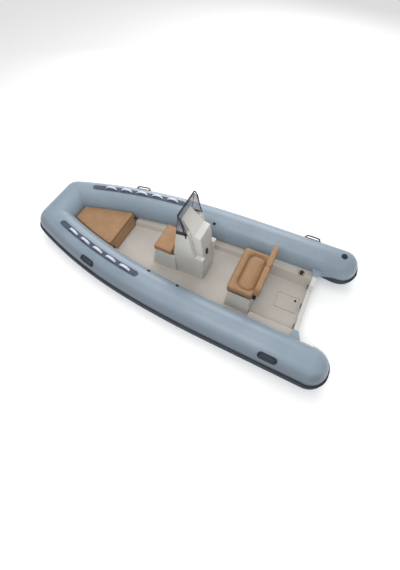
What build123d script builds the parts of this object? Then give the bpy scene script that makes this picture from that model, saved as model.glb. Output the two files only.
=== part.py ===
from build123d import *
from math import asin, cos, degrees, radians, sin, sqrt, tan
import os

# Rigid inflatable boat, millimetres. +X to the bow, +Y to port, +Z up.
# The origin is on the centreline, at the transom's aft face, at the waterline.

# ---------------------------------------------------------------- driving sizes
fit_gap = 0.3             # clearance of a soft or moving piece on its seat

# inflatable collar
tube_radius = 258.5
tube_z = 267.0            # tube centre above the waterline
half_spacing = 859.0      # tube centre from the centreline, at the transom
stern_splay = 1.0         # degrees that the tubes' straight sterns open outward
stern_tip_x = -510.0      # aft end of the tubes
dome_radius = 235.0       # rounding of the tube ends
straight_end_x = 1174.0   # the tubes are straight up to here
side_arc_end_x = 2506.0   # end of the long side curve
side_arc_radius = 14723.0
shoulder_arc_radius = 7834.0
bow_line_x = 4359.0       # centre of the cross tube at the bow

# rubbing strake
strake_z = 227.0
strake_height = 96.0
strake_depth = 30.0
strake_valley = 14.0      # how far the band between the two ribs stands out
strake_valley_half = 9.0
strake_rib_inner = 15.0   # inner edge of each rib, from the strake's middle
strake_edge_bevel = 8.0
strake_bed = 20.0
strake_wrap = 60.0        # how far it runs inboard past the tube's centre, at the stern

# strips, grips, handles and valves on the tubes
pad_thickness = 4.0
strip_width = 96.0
strip_front_x = 3995.0
strip_aft_x = 2435.0
grip_count = 5
grip_front_x = 3725.0
grip_pitch = 274.0
grip_length = 196.0
grip_rise = 36.0
grip_width = 34.0
grip_bar = 11.0
grip_sink = 6.0           # how far its feet reach into the strip
handle_stations = (268.0, 3235.0)
handle_tilt = 53.0        # degrees from the top of the tube, outboard
handle_pad_length = 268.0
handle_pad_width = 112.0
handle_pad_round = 0.42   # corner radius as a share of the pad's width
handle_pad_reach = 30.0
handle_grip_length = 186.0
handle_grip_rise = 46.0
handle_grip_width = 34.0
handle_grip_bar = 12.0
valve_stations = (1815.0, 2323.0)
valve_tilt = -41.0        # inboard
valve_radius = 24.0
valve_rise = 9.0
valve_sink = 10.0
relief_x = -240.0
relief_tilt = 0.0
relief_radius = 44.0

# rigid hull and deck
keel_z = -212.0
chine_half_beam = 700.0
chine_z = 30.0
chine_flat = 46.0
chine_rise = 12.0
hull_tuck = 60.0          # how far the hull's upper edge lies inside the chine
transom_thickness = 65.0
transom_high_z = 312.0
transom_low_z = 244.0
transom_notch_half = 246.0
transom_notch_slope = 54.0
transom_high_half = 488.0
transom_shoulder_z = 190.0
deck_under_z = 72.0
sole_z = 96.0
shelf_z = 166.0
aft_shelf_z = 238.0
aft_shelf_foot_y = 382.0
aft_shelf_edge_y = 452.0
aft_shelf_front_x = 730.0
shelf_slope = 33.0        # how far the forward shelves' risers lean out
liner_front_x = 4075.0
gusset_thickness = 10.0
gusset_tuck = 8.0         # how far it lies over the transom's high corner
gusset_aft_x = -112.0
gusset_front_x = 152.0

# bow locker and cushion
locker_aft_x = 3225.0
locker_front_x = 4010.0
locker_top_z = 238.0
locker_wall = 24.0
locker_side_gap = 30.0    # to the tubes, at each side
lid_thickness = 18.0
bow_cushion_thickness = 78.0
bow_lid_aft_x = 3215.0
bow_lid_front_x = 4072.0
bow_lid_gap = 12.0        # to the tubes, at each side
bow_pad_thickness = 52.0
bow_pad_foot_gap = 26.0
bow_pad_side_gap = 60.0

# console
console_half_width = 232.0
console_foot_half = 202.0
console_flare_z = 620.0   # the sides lean out up to here
dash_half_width = 156.0
dash_top_half = 118.0
dash_step_z = 1055.0
dash_top_z = 1298.0
ledge_z = 668.0           # side ledges of the console
ledge_aft_x = 1590.0
ledge_front_x = 1728.0
ledge_cap = 8.0
screen_inset = 2.0
screen_base_z = 1092.0
screen_base_rise = 38.0   # the base climbs by this from front to aft
screen_front_x = 1992.0
screen_aft_x = 1815.0
screen_head_x = 1938.0
screen_head_aft_x = 1898.0
screen_head_drop = 40.0
screen_top_z = 1436.0
screen_thickness = 6.0
rail_radius = 9.0
rail_bend = 20.0
rail_foot_inset = 22.0
rail_foot_drop = 10.0
rail_gap = 30.0           # open gap between the screen's top edge and the rail
seal_height = 26.0
seal_thickness = 9.0
seal_end_gap = 6.0
rail_clearance = 48.0
front_seat_aft_x = 2072.0
front_seat_front_x = 2415.0
front_seat_foot_x = 2503.0
front_seat_half_width = 228.0
front_seat_base_z = 484.0
front_cushion_thickness = 84.0
back_pad_height = 250.0
back_pad_thickness = 40.0
seat_base_wall = 30.0
locker_floor = 40.0       # thickness of the lockers' floors
latch_y = 34.0
latch_z = 667.0
latch_size = (40.0, 42.0, 110.0)

# helm seat
helm_aft_x = 752.0
helm_front_x = 1156.0
helm_half_width = 386.0
helm_rim_height = 30.0
helm_rim_inset = 10.0
helm_base_z = 418.0
helm_cushion_thickness = 112.0
helm_box_inset = 36.0
helm_foot_aft_x = 736.0
helm_foot_front_x = 1140.0
helm_foot_half = 444.0
backrest_height = 245.0
backrest_thickness = 82.0
backrest_lap = 6.0        # how far it stands over the cushion's aft edge
backrest_lift = 22.0
bracket_thickness = 12.0
bracket_width = 60.0
bracket_inset = 70.0
bracket_foot = 16.0

# stern hatch and fittings
hatch_aft_x = 105.0
hatch_length = 333.0
hatch_half_width = 128.0
hatch_thickness = 12.0
hatch_gap = 6.0
drain_stations = (-364.0, 0.0, 364.0)
drain_height = 62.0       # above the sole
drain_slot = (84.0, 20.0)
drain_thickness = 5.0
eye_bore_radius = 11.0
eye_radius = 24.0
eye_thickness = 14.0
bow_eye_x = 4000.0
bow_eye_z = -96.0
fitting_x = 235.0
fitting_tube_gap = 98.0   # from its middle to the tube
fitting_plate = (90.0, 80.0, 8.0)
fitting_radius = 26.0
fitting_height = 40.0

# ---------------------------------------------------------------- collar line
splay_sine = sin(radians(stern_splay))
side_turn = degrees(asin(splay_sine + (side_arc_end_x - straight_end_x) / side_arc_radius))
bow_sine = sin(radians(side_turn)) + (bow_line_x - side_arc_end_x) / shoulder_arc_radius
bow_heading = degrees(asin(bow_sine))
dome_start_x = stern_tip_x + dome_radius
dome_flat = tube_radius - dome_radius


def heading(x):
    """Degrees that the collar has turned inboard at station x."""
    if x <= straight_end_x:
        return stern_splay
    if x <= side_arc_end_x:
        return degrees(asin(splay_sine + (x - straight_end_x) / side_arc_radius))
    sine = sin(radians(side_turn)) + (x - side_arc_end_x) / shoulder_arc_radius
    return degrees(asin(sine))


def centre_y(x):
    """Distance of the port tube's centre from the centreline at station x."""
    if x <= straight_end_x:
        return half_spacing - x * tan(radians(stern_splay))
    cosine = cos(radians(heading(x)))
    if x <= side_arc_end_x:
        return centre_y(straight_end_x) - side_arc_radius * (cos(radians(stern_splay)) - cosine)
    return centre_y(side_arc_end_x) - shoulder_arc_radius * (cos(radians(side_turn)) - cosine)


def course(turn):
    """Unit vector along the collar where it has turned inboard by that many degrees."""
    return (cos(radians(turn)), -sin(radians(turn)))


def skirt_point(x, reach):
    """Point in plan, outboard of the collar line at station x."""
    turn = radians(heading(x))
    return (x + reach * sin(turn), centre_y(x) + reach * cos(turn))


def inner_y(x, z=tube_z):
    """The port tube's inboard face at station x and height z."""
    reach = sqrt(max(tube_radius ** 2 - (z - tube_z) ** 2, 0.0))
    return centre_y(x) - reach / cos(radians(heading(x)))


def tube_plane(x, tilt):
    """Plane on the port tube's skin: local x forward, local z outward, tilt from the top."""
    turn = radians(heading(x))
    forward = Vector(cos(turn), -sin(turn), 0)
    outboard = Vector(sin(turn), cos(turn), 0)
    normal = outboard * sin(radians(tilt)) + Vector(0, 0, 1) * cos(radians(tilt))
    centre = Vector(x, centre_y(x), tube_z)
    return Plane(origin=centre + normal * tube_radius, x_dir=forward, z_dir=normal)


corner_y = centre_y(bow_line_x)
mitre_angle = radians((bow_heading + 90) / 2)
mitre_plane = Plane(
    origin=(bow_line_x, corner_y, tube_z), z_dir=(cos(mitre_angle), -sin(mitre_angle), 0)
)

with BuildLine(Plane.XY.offset(tube_z)) as collar_line:
    Line(skirt_point(dome_start_x, 0), skirt_point(straight_end_x, 0))
    JernArc(
        skirt_point(straight_end_x, 0),
        course(stern_splay),
        side_arc_radius,
        stern_splay - side_turn,
    )
    JernArc(
        skirt_point(side_arc_end_x, 0),
        course(side_turn),
        shoulder_arc_radius,
        side_turn - bow_heading,
    )
collar_wire = collar_line.wires()[0]
dome_centre = (dome_start_x, centre_y(dome_start_x), tube_z)
tube_start = Plane(origin=dome_centre, z_dir=(*course(stern_splay), 0))
dome_side = Plane(
    origin=dome_centre,
    x_dir=(-cos(radians(stern_splay)), splay_sine, 0),
    z_dir=(splay_sine, cos(radians(stern_splay)), 0),
)

# ---------------------------------------------------------------- tubes
half_turn = (90 - bow_heading) / 2
corner_axis = Axis((bow_line_x, corner_y, tube_z), (0, 0, 1))
side_end = Plane(
    origin=(bow_line_x, corner_y, tube_z),
    x_dir=(sin(radians(bow_heading)), cos(radians(bow_heading)), 0),
    z_dir=(-cos(radians(bow_heading)), sin(radians(bow_heading)), 0),
)
cross_end = Plane(origin=(bow_line_x, corner_y, tube_z), x_dir=(1, 0, 0), z_dir=(0, -1, 0))


def outer_half_disc():
    """Outboard half of the tube's section, from the upright through its centre."""
    with BuildSketch() as half:
        Circle(tube_radius)
        with Locations((-tube_radius, 0)):
            Rectangle(2 * tube_radius, 2 * tube_radius, mode=Mode.SUBTRACT)
    return half.sketch


with BuildPart() as tube_port:
    with BuildSketch(tube_start):
        Circle(tube_radius)
    sweep(path=collar_wire)
    split(bisect_by=mitre_plane, keep=Keep.BOTTOM)
    revolve(side_end * outer_half_disc(), axis=corner_axis, revolution_arc=-half_turn)
    with BuildSketch(dome_side):
        with BuildLine():
            Line((0, 0), (dome_radius, 0))
            Line((dome_radius, 0), (dome_radius, dome_flat))
            JernArc((dome_radius, dome_flat), (0, 1), dome_radius, 90)
            Line((0, tube_radius), (0, 0))
        make_face()
    revolve(axis=Axis(dome_centre, (*course(stern_splay), 0)))

with BuildPart() as tube_starboard:
    mirror(tube_port.part, about=Plane.XZ)

with BuildPart() as bow_half:
    with BuildSketch(Plane(origin=(bow_line_x, 0, tube_z), z_dir=(0, 1, 0))):
        Circle(tube_radius)
    extrude(amount=corner_y)
    split(bisect_by=mitre_plane, keep=Keep.TOP)
    revolve(cross_end * outer_half_disc(), axis=corner_axis, revolution_arc=half_turn)

with BuildPart() as tube_bow:
    add(bow_half.part)
    mirror(bow_half.part, about=Plane.XZ)


def cut_to_tubes(*chambers):
    """Take the tubes' solids out of the piece that is being built."""
    for chamber in chambers:
        add(chamber.part, mode=Mode.SUBTRACT)


# ---------------------------------------------------------------- rubbing strake
strake_edge = strake_height / 2
strake_bevel = strake_edge - strake_edge_bevel
strake_section = [
    (-strake_bed, -strake_edge),
    (strake_depth - strake_edge_bevel, -strake_edge),
    (strake_depth, -strake_bevel),
    (strake_depth, -strake_rib_inner),
    (strake_valley, -strake_valley_half),
    (strake_valley, strake_valley_half),
    (strake_depth, strake_rib_inner),
    (strake_depth, strake_bevel),
    (strake_depth - strake_edge_bevel, strake_edge),
    (-strake_bed, strake_edge),
]


def dome_point(aft, outboard):
    """Point in plan, aft and outboard of the centre of the port tube's dome."""
    x = dome_start_x - aft * cos(radians(stern_splay)) + outboard * splay_sine
    y = centre_y(dome_start_x) + aft * splay_sine + outboard * cos(radians(stern_splay))
    return (x, y)


outboard_course = (splay_sine, cos(radians(stern_splay)))
with BuildPart() as strake_half:
    with BuildLine(Plane.XY.offset(strake_z)) as strake_line:
        Line(dome_point(dome_radius, -strake_wrap), dome_point(dome_radius, dome_flat))
        JernArc(dome_point(dome_radius, dome_flat), outboard_course, dome_radius, -90)
        Line(dome_point(0, tube_radius), skirt_point(straight_end_x, tube_radius))
        JernArc(
            skirt_point(straight_end_x, tube_radius),
            course(stern_splay),
            side_arc_radius + tube_radius,
            stern_splay - side_turn,
        )
        JernArc(
            skirt_point(side_arc_end_x, tube_radius),
            course(side_turn),
            shoulder_arc_radius + tube_radius,
            side_turn - bow_heading,
        )
        JernArc(
            skirt_point(bow_line_x, tube_radius),
            course(bow_heading),
            tube_radius,
            bow_heading - 90,
        )
        Line((bow_line_x + tube_radius, corner_y), (bow_line_x + tube_radius, 0))
    strake_start = Plane(
        origin=strake_line.line @ 0, x_dir=dome_side.x_dir, z_dir=dome_side.z_dir
    )
    with BuildSketch(strake_start):
        with BuildLine():
            Polyline(*strake_section, close=True)
        make_face()
    sweep(path=strake_line.wires()[0])
    cut_to_tubes(tube_port, tube_bow)

with BuildPart() as rub_strake:
    add(strake_half.part)
    mirror(strake_half.part, about=Plane.XZ)

# ---------------------------------------------------------------- strips, grips and handles
strip_middle_x = (strip_front_x + strip_aft_x) / 2


with BuildPart() as pad_skin:
    with BuildSketch(tube_start):
        Circle(tube_radius + pad_thickness)
    sweep(path=collar_wire)

with BuildPart() as grip_strip_port:
    with BuildSketch(Plane.XY.offset(tube_z)):
        with BuildLine(mode=Mode.PRIVATE) as strip_line:
            ThreePointArc(
                skirt_point(strip_aft_x, 0),
                skirt_point(strip_middle_x, 0),
                skirt_point(strip_front_x, 0),
            )
        SlotArc(strip_line.edges()[0], strip_width)
    extrude(amount=2 * tube_radius)
    add(pad_skin.part, mode=Mode.INTERSECT)
    add(tube_port.part, mode=Mode.SUBTRACT)

with BuildPart() as grip_strip_starboard:
    mirror(grip_strip_port.part, about=Plane.XZ)


def arch(plane, length, rise, width, bar):
    """An arched bar that stands on a plane, its two feet sunk a little into it."""
    chord = Plane(origin=plane.origin, x_dir=plane.x_dir, z_dir=-plane.y_dir)
    inner = length / 2 - 1.8 * bar
    with BuildPart() as bridge:
        with BuildSketch(chord):
            with BuildLine():
                Polyline((length / 2, 0), (length / 2, -grip_sink), (inner, -grip_sink), (inner, 0))
                ThreePointArc((inner, 0), (0, rise - bar), (-inner, 0))
                Polyline((-inner, 0), (-inner, -grip_sink), (-length / 2, -grip_sink), (-length / 2, 0))
                ThreePointArc((-length / 2, 0), (0, rise), (length / 2, 0))
            make_face()
        extrude(amount=width / 2, both=True)
    return bridge.part


with BuildPart() as bow_grips_port:
    for index in range(grip_count):
        station = grip_front_x - index * grip_pitch
        add(arch(tube_plane(station, 0), grip_length, grip_rise + pad_thickness, grip_width, grip_bar))
    add(pad_skin.part, mode=Mode.SUBTRACT)

with BuildPart() as bow_grips_starboard:
    mirror(bow_grips_port.part, about=Plane.XZ)

with BuildPart() as handle_pads:
    for station in handle_stations:
        with BuildSketch(tube_plane(station, handle_tilt)):
            RectangleRounded(handle_pad_length, handle_pad_width, handle_pad_round * handle_pad_width)
        extrude(amount=handle_pad_reach, both=True)
    add(pad_skin.part, mode=Mode.INTERSECT)
    add(tube_port.part, mode=Mode.SUBTRACT)
    mirror(handle_pads.part, about=Plane.XZ)

with BuildPart() as handle_grips:
    for station in handle_stations:
        seat = tube_plane(station, handle_tilt)
        add(arch(seat, handle_grip_length, handle_grip_rise, handle_grip_width, handle_grip_bar))
    add(pad_skin.part, mode=Mode.SUBTRACT)
    mirror(handle_grips.part, about=Plane.XZ)


def valve(station, tilt, radius):
    """A round valve, let into the port tube's skin."""
    with BuildPart() as plug:
        with BuildSketch(tube_plane(station, tilt)):
            Circle(radius)
        extrude(amount=valve_rise)
        with BuildSketch(tube_plane(station, tilt)):
            Circle(radius)
        extrude(amount=-valve_sink)
        add(tube_port.part, mode=Mode.SUBTRACT)
    return plug.part


with BuildPart() as air_valves:
    for station in valve_stations:
        add(valve(station, valve_tilt, valve_radius))
    mirror(air_valves.part, about=Plane.XZ)

with BuildPart() as relief_valve:
    mirror(valve(relief_x, relief_tilt, relief_radius), about=Plane.XZ)

# ---------------------------------------------------------------- rigid hull
# Hull stations: x, keel z, chine half-beam, chine z.
hull_stations = [
    (transom_thickness, keel_z, chine_half_beam, chine_z),
    (1100, keel_z, chine_half_beam - 4, chine_z),
    (2100, keel_z + 4, chine_half_beam - 45, chine_z + 2),
    (2900, keel_z + 26, chine_half_beam - 140, chine_z + 6),
    (3500, keel_z + 74, chine_half_beam - 262, chine_z + 12),
    (3950, keel_z + 142, chine_half_beam - 400, chine_z + 18),
    (4240, keel_z + 212, chine_half_beam - 530, chine_z + 26),
]


def hull_outline(keel, chine_y, chine, top):
    """Half-section and its mirror image: keel, chine flat, chine and upper edge."""
    flat_y = chine_y - chine_flat
    side = [(flat_y, chine - chine_rise), (chine_y, chine), (chine_y - hull_tuck, top)]
    return [(0, keel)] + side + [(-y, z) for y, z in reversed(side)]


with BuildPart() as hull_bottom:
    for station, keel, chine_y, chine in hull_stations:
        with BuildSketch(Plane(origin=(station, 0, 0), x_dir=(0, 1, 0), z_dir=(1, 0, 0))):
            Polygon(*hull_outline(keel, chine_y, chine, deck_under_z), align=None)
    loft()
    cut_to_tubes(tube_port, tube_starboard, tube_bow)

cross_plane = Plane(origin=(0, 0, 0), x_dir=(0, 1, 0), z_dir=(1, 0, 0))
transom_side = [
    (chine_half_beam - hull_tuck, deck_under_z),
    (chine_half_beam - hull_tuck, transom_shoulder_z),
    (transom_high_half, transom_high_z),
    (transom_notch_half + transom_notch_slope, transom_high_z),
    (transom_notch_half, transom_low_z),
]
with BuildPart() as transom:
    with BuildSketch(cross_plane):
        lower = hull_outline(keel_z, chine_half_beam, chine_z, deck_under_z)
        Polygon(*lower, align=None)
        Polygon(*transom_side, *[(-y, z) for y, z in reversed(transom_side)], align=None)
    extrude(amount=transom_thickness)
    cut_to_tubes(tube_port, tube_starboard)

# ---------------------------------------------------------------- deck liner
# Forward side shelves: x, foot y.
shelf_stations = [
    (aft_shelf_front_x, 466),
    (1600, 440),
    (2500, 370),
    (locker_aft_x - bow_pad_thickness - 2 * fit_gap, 286),
]
liner_reach = 150         # from the tube's centre to the liner's hidden edge
liner_stations = (transom_thickness, 443, 1200, 2000, 2700, 3300, 3800, liner_front_x)
shelf_outer_y = centre_y(aft_shelf_front_x) - liner_reach
with BuildPart() as liner_port:
    with BuildSketch(Plane.XY.offset(deck_under_z)):
        with BuildLine():
            edge = [(x, centre_y(x) - liner_reach) for x in liner_stations]
            Polyline((transom_thickness, 0), *edge, (liner_front_x, 0), close=True)
        make_face()
    extrude(amount=sole_z - deck_under_z)
    with BuildSketch(Plane.YZ.offset(transom_thickness)):
        Polygon(
            (aft_shelf_foot_y, sole_z),
            (shelf_outer_y, sole_z),
            (shelf_outer_y, aft_shelf_z),
            (aft_shelf_edge_y, aft_shelf_z),
            align=None,
        )
    extrude(amount=aft_shelf_front_x - transom_thickness)
    for station, foot_y in shelf_stations:
        with BuildSketch(Plane.YZ.offset(station)):
            outer = centre_y(station) - liner_reach
            edge_y = foot_y + shelf_slope
            Polygon((foot_y, sole_z), (outer, sole_z), (outer, shelf_z), (edge_y, shelf_z), align=None)
    loft(ruled=True)
    cut_to_tubes(tube_port, tube_bow)

hatch_middle = (hatch_aft_x + hatch_length / 2, 0, sole_z)
with BuildPart() as deck_liner:
    add(liner_port.part)
    mirror(liner_port.part, about=Plane.XZ)
    with Locations(hatch_middle):
        Box(
            hatch_length + 2 * hatch_gap,
            2 * (hatch_half_width + hatch_gap),
            2 * (hatch_thickness + fit_gap),
            mode=Mode.SUBTRACT,
        )

with BuildPart() as stern_hatch:
    with Locations((hatch_middle[0], 0, sole_z - hatch_thickness / 2)):
        Box(hatch_length, 2 * hatch_half_width, hatch_thickness)
    fillet(stern_hatch.edges().filter_by(Axis.Z), 20)

gusset_foot_y = transom_high_half - gusset_tuck
gusset_outer_y = centre_y(0) - liner_reach
with BuildPart() as gusset_port:
    with BuildSketch(Plane.XY.offset(transom_high_z)):
        Polygon(
            (transom_thickness, gusset_foot_y),
            (gusset_front_x, gusset_outer_y),
            (gusset_aft_x, gusset_outer_y),
            (0, gusset_foot_y),
            align=None,
        )
    extrude(amount=gusset_thickness)
    cut_to_tubes(tube_port)

with BuildPart() as gusset_starboard:
    mirror(gusset_port.part, about=Plane.XZ)

# ---------------------------------------------------------------- bow locker
def between_tubes(aft_x, front_x, side_gap, height):
    """Outline that fills the space between the tubes from one station to another."""
    middle_x = (aft_x + front_x) / 2
    side = [(x, inner_y(x, height) - side_gap) for x in (aft_x, middle_x, front_x)]
    return side + [(x, -y) for x, y in reversed(side)]


with BuildPart() as bow_locker:
    with BuildSketch(Plane.XY.offset(sole_z)):
        Polygon(*between_tubes(locker_aft_x, locker_front_x, locker_side_gap, tube_z), align=None)
    extrude(amount=locker_top_z - sole_z)
    with BuildSketch(Plane.XY.offset(sole_z)):
        inside = (locker_aft_x + locker_wall, locker_front_x - locker_wall)
        Polygon(*between_tubes(*inside, locker_side_gap + locker_wall, tube_z), align=None)
    extrude(amount=locker_top_z - sole_z, mode=Mode.SUBTRACT)

bow_lid_z = locker_top_z + fit_gap
with BuildPart() as bow_lid_panel:
    with BuildSketch(Plane.XY.offset(bow_lid_z)):
        Polygon(*between_tubes(bow_lid_aft_x, bow_lid_front_x, bow_lid_gap, tube_z), align=None)
    extrude(amount=lid_thickness)
    fillet(bow_lid_panel.edges().filter_by(Axis.Z), 12)

with BuildPart() as bow_cushion:
    with BuildSketch(Plane.XY.offset(bow_lid_z + lid_thickness + fit_gap)):
        Polygon(*between_tubes(bow_lid_aft_x, bow_lid_front_x, bow_lid_gap, tube_z), align=None)
    extrude(amount=bow_cushion_thickness)
    fillet(bow_cushion.edges().filter_by(Axis.Z), 25)

bow_pad_half = inner_y(locker_aft_x, tube_z) - bow_pad_side_gap
bow_pad_low_z = sole_z + bow_pad_foot_gap
with BuildPart() as bow_front_pad:
    with Locations((locker_aft_x - fit_gap - bow_pad_thickness / 2, 0, (bow_pad_low_z + locker_top_z) / 2)):
        Box(bow_pad_thickness, 2 * bow_pad_half, locker_top_z - bow_pad_low_z)
    fillet(bow_front_pad.edges().filter_by(Axis.Z).group_by(Axis.X)[0], 15)

# ---------------------------------------------------------------- console
side_view = Plane.XZ
# Side views of the wings and of the dash pod between them: x, z.
wing_profile = [
    (1617, sole_z),
    (ledge_aft_x, ledge_z - 12),
    (ledge_aft_x, ledge_z),
    (ledge_front_x, ledge_z),
    (screen_aft_x, screen_base_z + screen_base_rise),
    (screen_front_x, screen_base_z),
    (front_seat_aft_x - 6, front_seat_base_z + 120),
    (front_seat_aft_x, sole_z),
]
pod_profile = [
    (1600, sole_z),
    (1640, 900),
    (1664, dash_step_z - 12),
    (1758, dash_step_z + 10),
    (1939, dash_top_z),
    (1962, dash_top_z - 8),
    (2000, screen_base_z - 20),
    (front_seat_aft_x - 20, sole_z),
]
recess_profile = [(1500, 296), (1640, 296), (1700, ledge_z), (1500, ledge_z)]
# Front views of their port halves: y, z.
wing_front = [(0, sole_z), (console_foot_half, sole_z), (console_half_width, console_flare_z)]
wing_front += [(console_half_width, screen_top_z), (0, screen_top_z)]
pod_front = [(0, sole_z), (dash_half_width, sole_z), (dash_half_width, dash_step_z)]
pod_front += [(dash_top_half, dash_top_z), (0, dash_top_z)]


def moulding(side_profile, front_profile):
    """Solid with the given side view whose port half has the given front view."""
    with BuildPart() as half:
        with BuildSketch(side_view):
            Polygon(*side_profile, align=None)
        extrude(amount=-console_half_width)
        with BuildSketch(Plane.YZ):
            Polygon(*front_profile, align=None)
        extrude(amount=front_seat_aft_x, mode=Mode.INTERSECT)
        mirror(half.part, about=Plane.XZ)
    return half.part


with BuildPart() as console_body:
    add(moulding(wing_profile, wing_front))
    with BuildSketch(side_view):
        Polygon(*recess_profile, align=None)
    extrude(amount=dash_half_width, both=True, mode=Mode.SUBTRACT)
    add(moulding(pod_profile, pod_front))

screen_profile = [
    (screen_front_x, screen_base_z),
    (screen_aft_x, screen_base_z + screen_base_rise),
    (screen_head_aft_x, screen_top_z - screen_head_drop),
    (screen_head_x, screen_top_z),
]
screen_half_width = console_half_width - screen_inset
pane_run = 1.3 * screen_thickness     # thickness of the raked front pane along x
with BuildPart() as windscreen:
    with BuildSketch(side_view):
        Polygon(*screen_profile, align=None)
    extrude(amount=screen_half_width, both=True)
    with BuildSketch(side_view):
        Polygon(
            (screen_front_x - pane_run, screen_base_z - screen_base_rise),
            (ledge_front_x, screen_base_z - screen_base_rise),
            (ledge_front_x, screen_top_z + rail_gap),
            (screen_head_x - pane_run, screen_top_z + rail_gap),
            align=None,
        )
    extrude(amount=screen_half_width - screen_thickness, both=True, mode=Mode.SUBTRACT)
    add(console_body.part, mode=Mode.SUBTRACT)

rail_y = console_half_width + rail_radius
with BuildPart() as screen_rail:
    with BuildLine() as rail_line:
        side_low = (screen_aft_x + rail_foot_inset, rail_y, screen_base_z - rail_foot_drop)
        side_high = (screen_head_aft_x, rail_y, screen_top_z - screen_head_drop + rail_radius)
        top = (screen_head_x, rail_y, screen_top_z + rail_gap)
        low, high, crown = [(x, -y, z) for x, y, z in (side_low, side_high, top)]
        FilletPolyline(side_low, side_high, top, crown, high, low, radius=rail_bend)
    with BuildSketch(Plane(origin=rail_line.line @ 0, z_dir=rail_line.line % 0)):
        Circle(rail_radius)
    sweep(path=rail_line.wires()[0])

base_slope = screen_base_rise / (screen_aft_x - screen_front_x)
seal_front = (screen_front_x - seal_end_gap, screen_base_z - base_slope * seal_end_gap)
seal_aft = (screen_aft_x + rail_clearance, screen_base_z + screen_base_rise + base_slope * rail_clearance)
with BuildPart() as screen_seals:
    with BuildSketch(Plane.XZ.offset(-screen_half_width)):
        Polygon(
            seal_front,
            seal_aft,
            (seal_aft[0], seal_aft[1] + seal_height),
            (seal_front[0], seal_front[1] + seal_height),
            align=None,
        )
    extrude(amount=-seal_thickness)
    mirror(screen_seals.part, about=Plane.XZ)

with BuildPart() as ledge_caps:
    with BuildSketch(Plane.XY.offset(ledge_z)):
        ledge_length = ledge_front_x - ledge_aft_x
        ledge_width = console_half_width - dash_half_width
        with Locations((ledge_aft_x + ledge_length / 2, dash_half_width + ledge_width / 2)):
            Rectangle(ledge_length - 2 * ledge_cap, ledge_width - ledge_cap)
    extrude(amount=ledge_cap)
    add(console_body.part, mode=Mode.SUBTRACT)
    mirror(ledge_caps.part, about=Plane.XZ)

pod_low = pod_profile[0]
pod_high = pod_profile[1]
latch_x = pod_low[0] + (pod_high[0] - pod_low[0]) * (latch_z - pod_low[1]) / (pod_high[1] - pod_low[1])
with BuildPart() as console_latch:
    with Locations((latch_x, latch_y, latch_z)):
        Box(*latch_size)
    fillet(console_latch.edges().filter_by(Axis.X), seal_thickness)
    add(console_body.part, mode=Mode.SUBTRACT)

# ---------------------------------------------------------------- front seat
with BuildPart() as front_seat_base:
    with BuildSketch(side_view):
        Polygon(
            (front_seat_aft_x, sole_z),
            (front_seat_aft_x, front_seat_base_z),
            (front_seat_front_x, front_seat_base_z),
            (front_seat_foot_x, sole_z),
            align=None,
        )
    extrude(amount=front_seat_half_width, both=True)
    with Locations(((front_seat_aft_x + front_seat_front_x) / 2, 0, front_seat_base_z)):
        Box(
            front_seat_front_x - front_seat_aft_x - 2 * seat_base_wall,
            2 * (front_seat_half_width - seat_base_wall),
            2 * (front_seat_base_z - sole_z - locker_floor),
            mode=Mode.SUBTRACT,
        )

front_lid_z = front_seat_base_z + fit_gap
front_lid_aft_x = front_seat_aft_x + back_pad_thickness + 10
front_lid_length = front_seat_front_x + 8 - front_lid_aft_x
with BuildPart() as front_seat_panel:
    with Locations((front_lid_aft_x + front_lid_length / 2, 0, front_lid_z + lid_thickness / 2)):
        Box(front_lid_length, 2 * front_seat_half_width, lid_thickness)
    fillet(front_seat_panel.edges().filter_by(Axis.Z), 15)

with BuildPart() as front_seat_cushion:
    cushion_z = front_lid_z + lid_thickness + fit_gap + front_cushion_thickness / 2
    with Locations((front_lid_aft_x + front_lid_length / 2, 0, cushion_z)):
        Box(front_lid_length, 2 * front_seat_half_width + 12, front_cushion_thickness)
    fillet(front_seat_cushion.edges().filter_by(Axis.Z), 20)

back_pad_z = front_lid_z + lid_thickness
face_top = wing_profile[5]
face_low = wing_profile[6]
face_slope = (face_top[0] - face_low[0]) / (face_top[1] - face_low[1])
back_pad_low_x = face_low[0] + fit_gap
back_pad_top_x = face_low[0] + fit_gap + face_slope * (back_pad_z + back_pad_height - face_low[1])
with BuildPart() as front_back_pad:
    with BuildSketch(side_view):
        Polygon(
            (front_seat_aft_x + fit_gap, back_pad_z),
            (back_pad_low_x, face_low[1]),
            (back_pad_top_x, back_pad_z + back_pad_height),
            (back_pad_top_x + back_pad_thickness, back_pad_z + back_pad_height),
            (front_seat_aft_x + back_pad_thickness, back_pad_z),
            align=None,
        )
    extrude(amount=console_foot_half, both=True)

# ---------------------------------------------------------------- helm seat
helm_middle_x = (helm_aft_x + helm_front_x) / 2
helm_length = helm_front_x - helm_aft_x
box_top = (helm_length - 2 * helm_box_inset, 2 * (helm_half_width - helm_box_inset))
with BuildPart() as seat_box:
    with BuildSketch(Plane.XY.offset(sole_z)):
        with Locations(((helm_foot_aft_x + helm_foot_front_x) / 2, 0)):
            Rectangle(helm_foot_front_x - helm_foot_aft_x, 2 * helm_foot_half)
    with BuildSketch(Plane.XY.offset(helm_base_z)):
        with Locations((helm_middle_x, 0)):
            Rectangle(*box_top)
    loft(ruled=True)
    with Locations((helm_middle_x, 0, helm_base_z)):
        Box(
            box_top[0] - 2 * seat_base_wall,
            box_top[1] - 2 * seat_base_wall,
            2 * (helm_base_z - sole_z - locker_floor),
            mode=Mode.SUBTRACT,
        )

helm_rim_z = helm_base_z + fit_gap
with BuildPart() as helm_lid_panel:
    with Locations((helm_middle_x, 0, helm_rim_z + helm_rim_height / 2)):
        Box(
            helm_length - 2 * helm_rim_inset,
            2 * (helm_half_width - helm_rim_inset),
            helm_rim_height,
        )
    fillet(helm_lid_panel.edges().filter_by(Axis.Z), 40)

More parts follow.
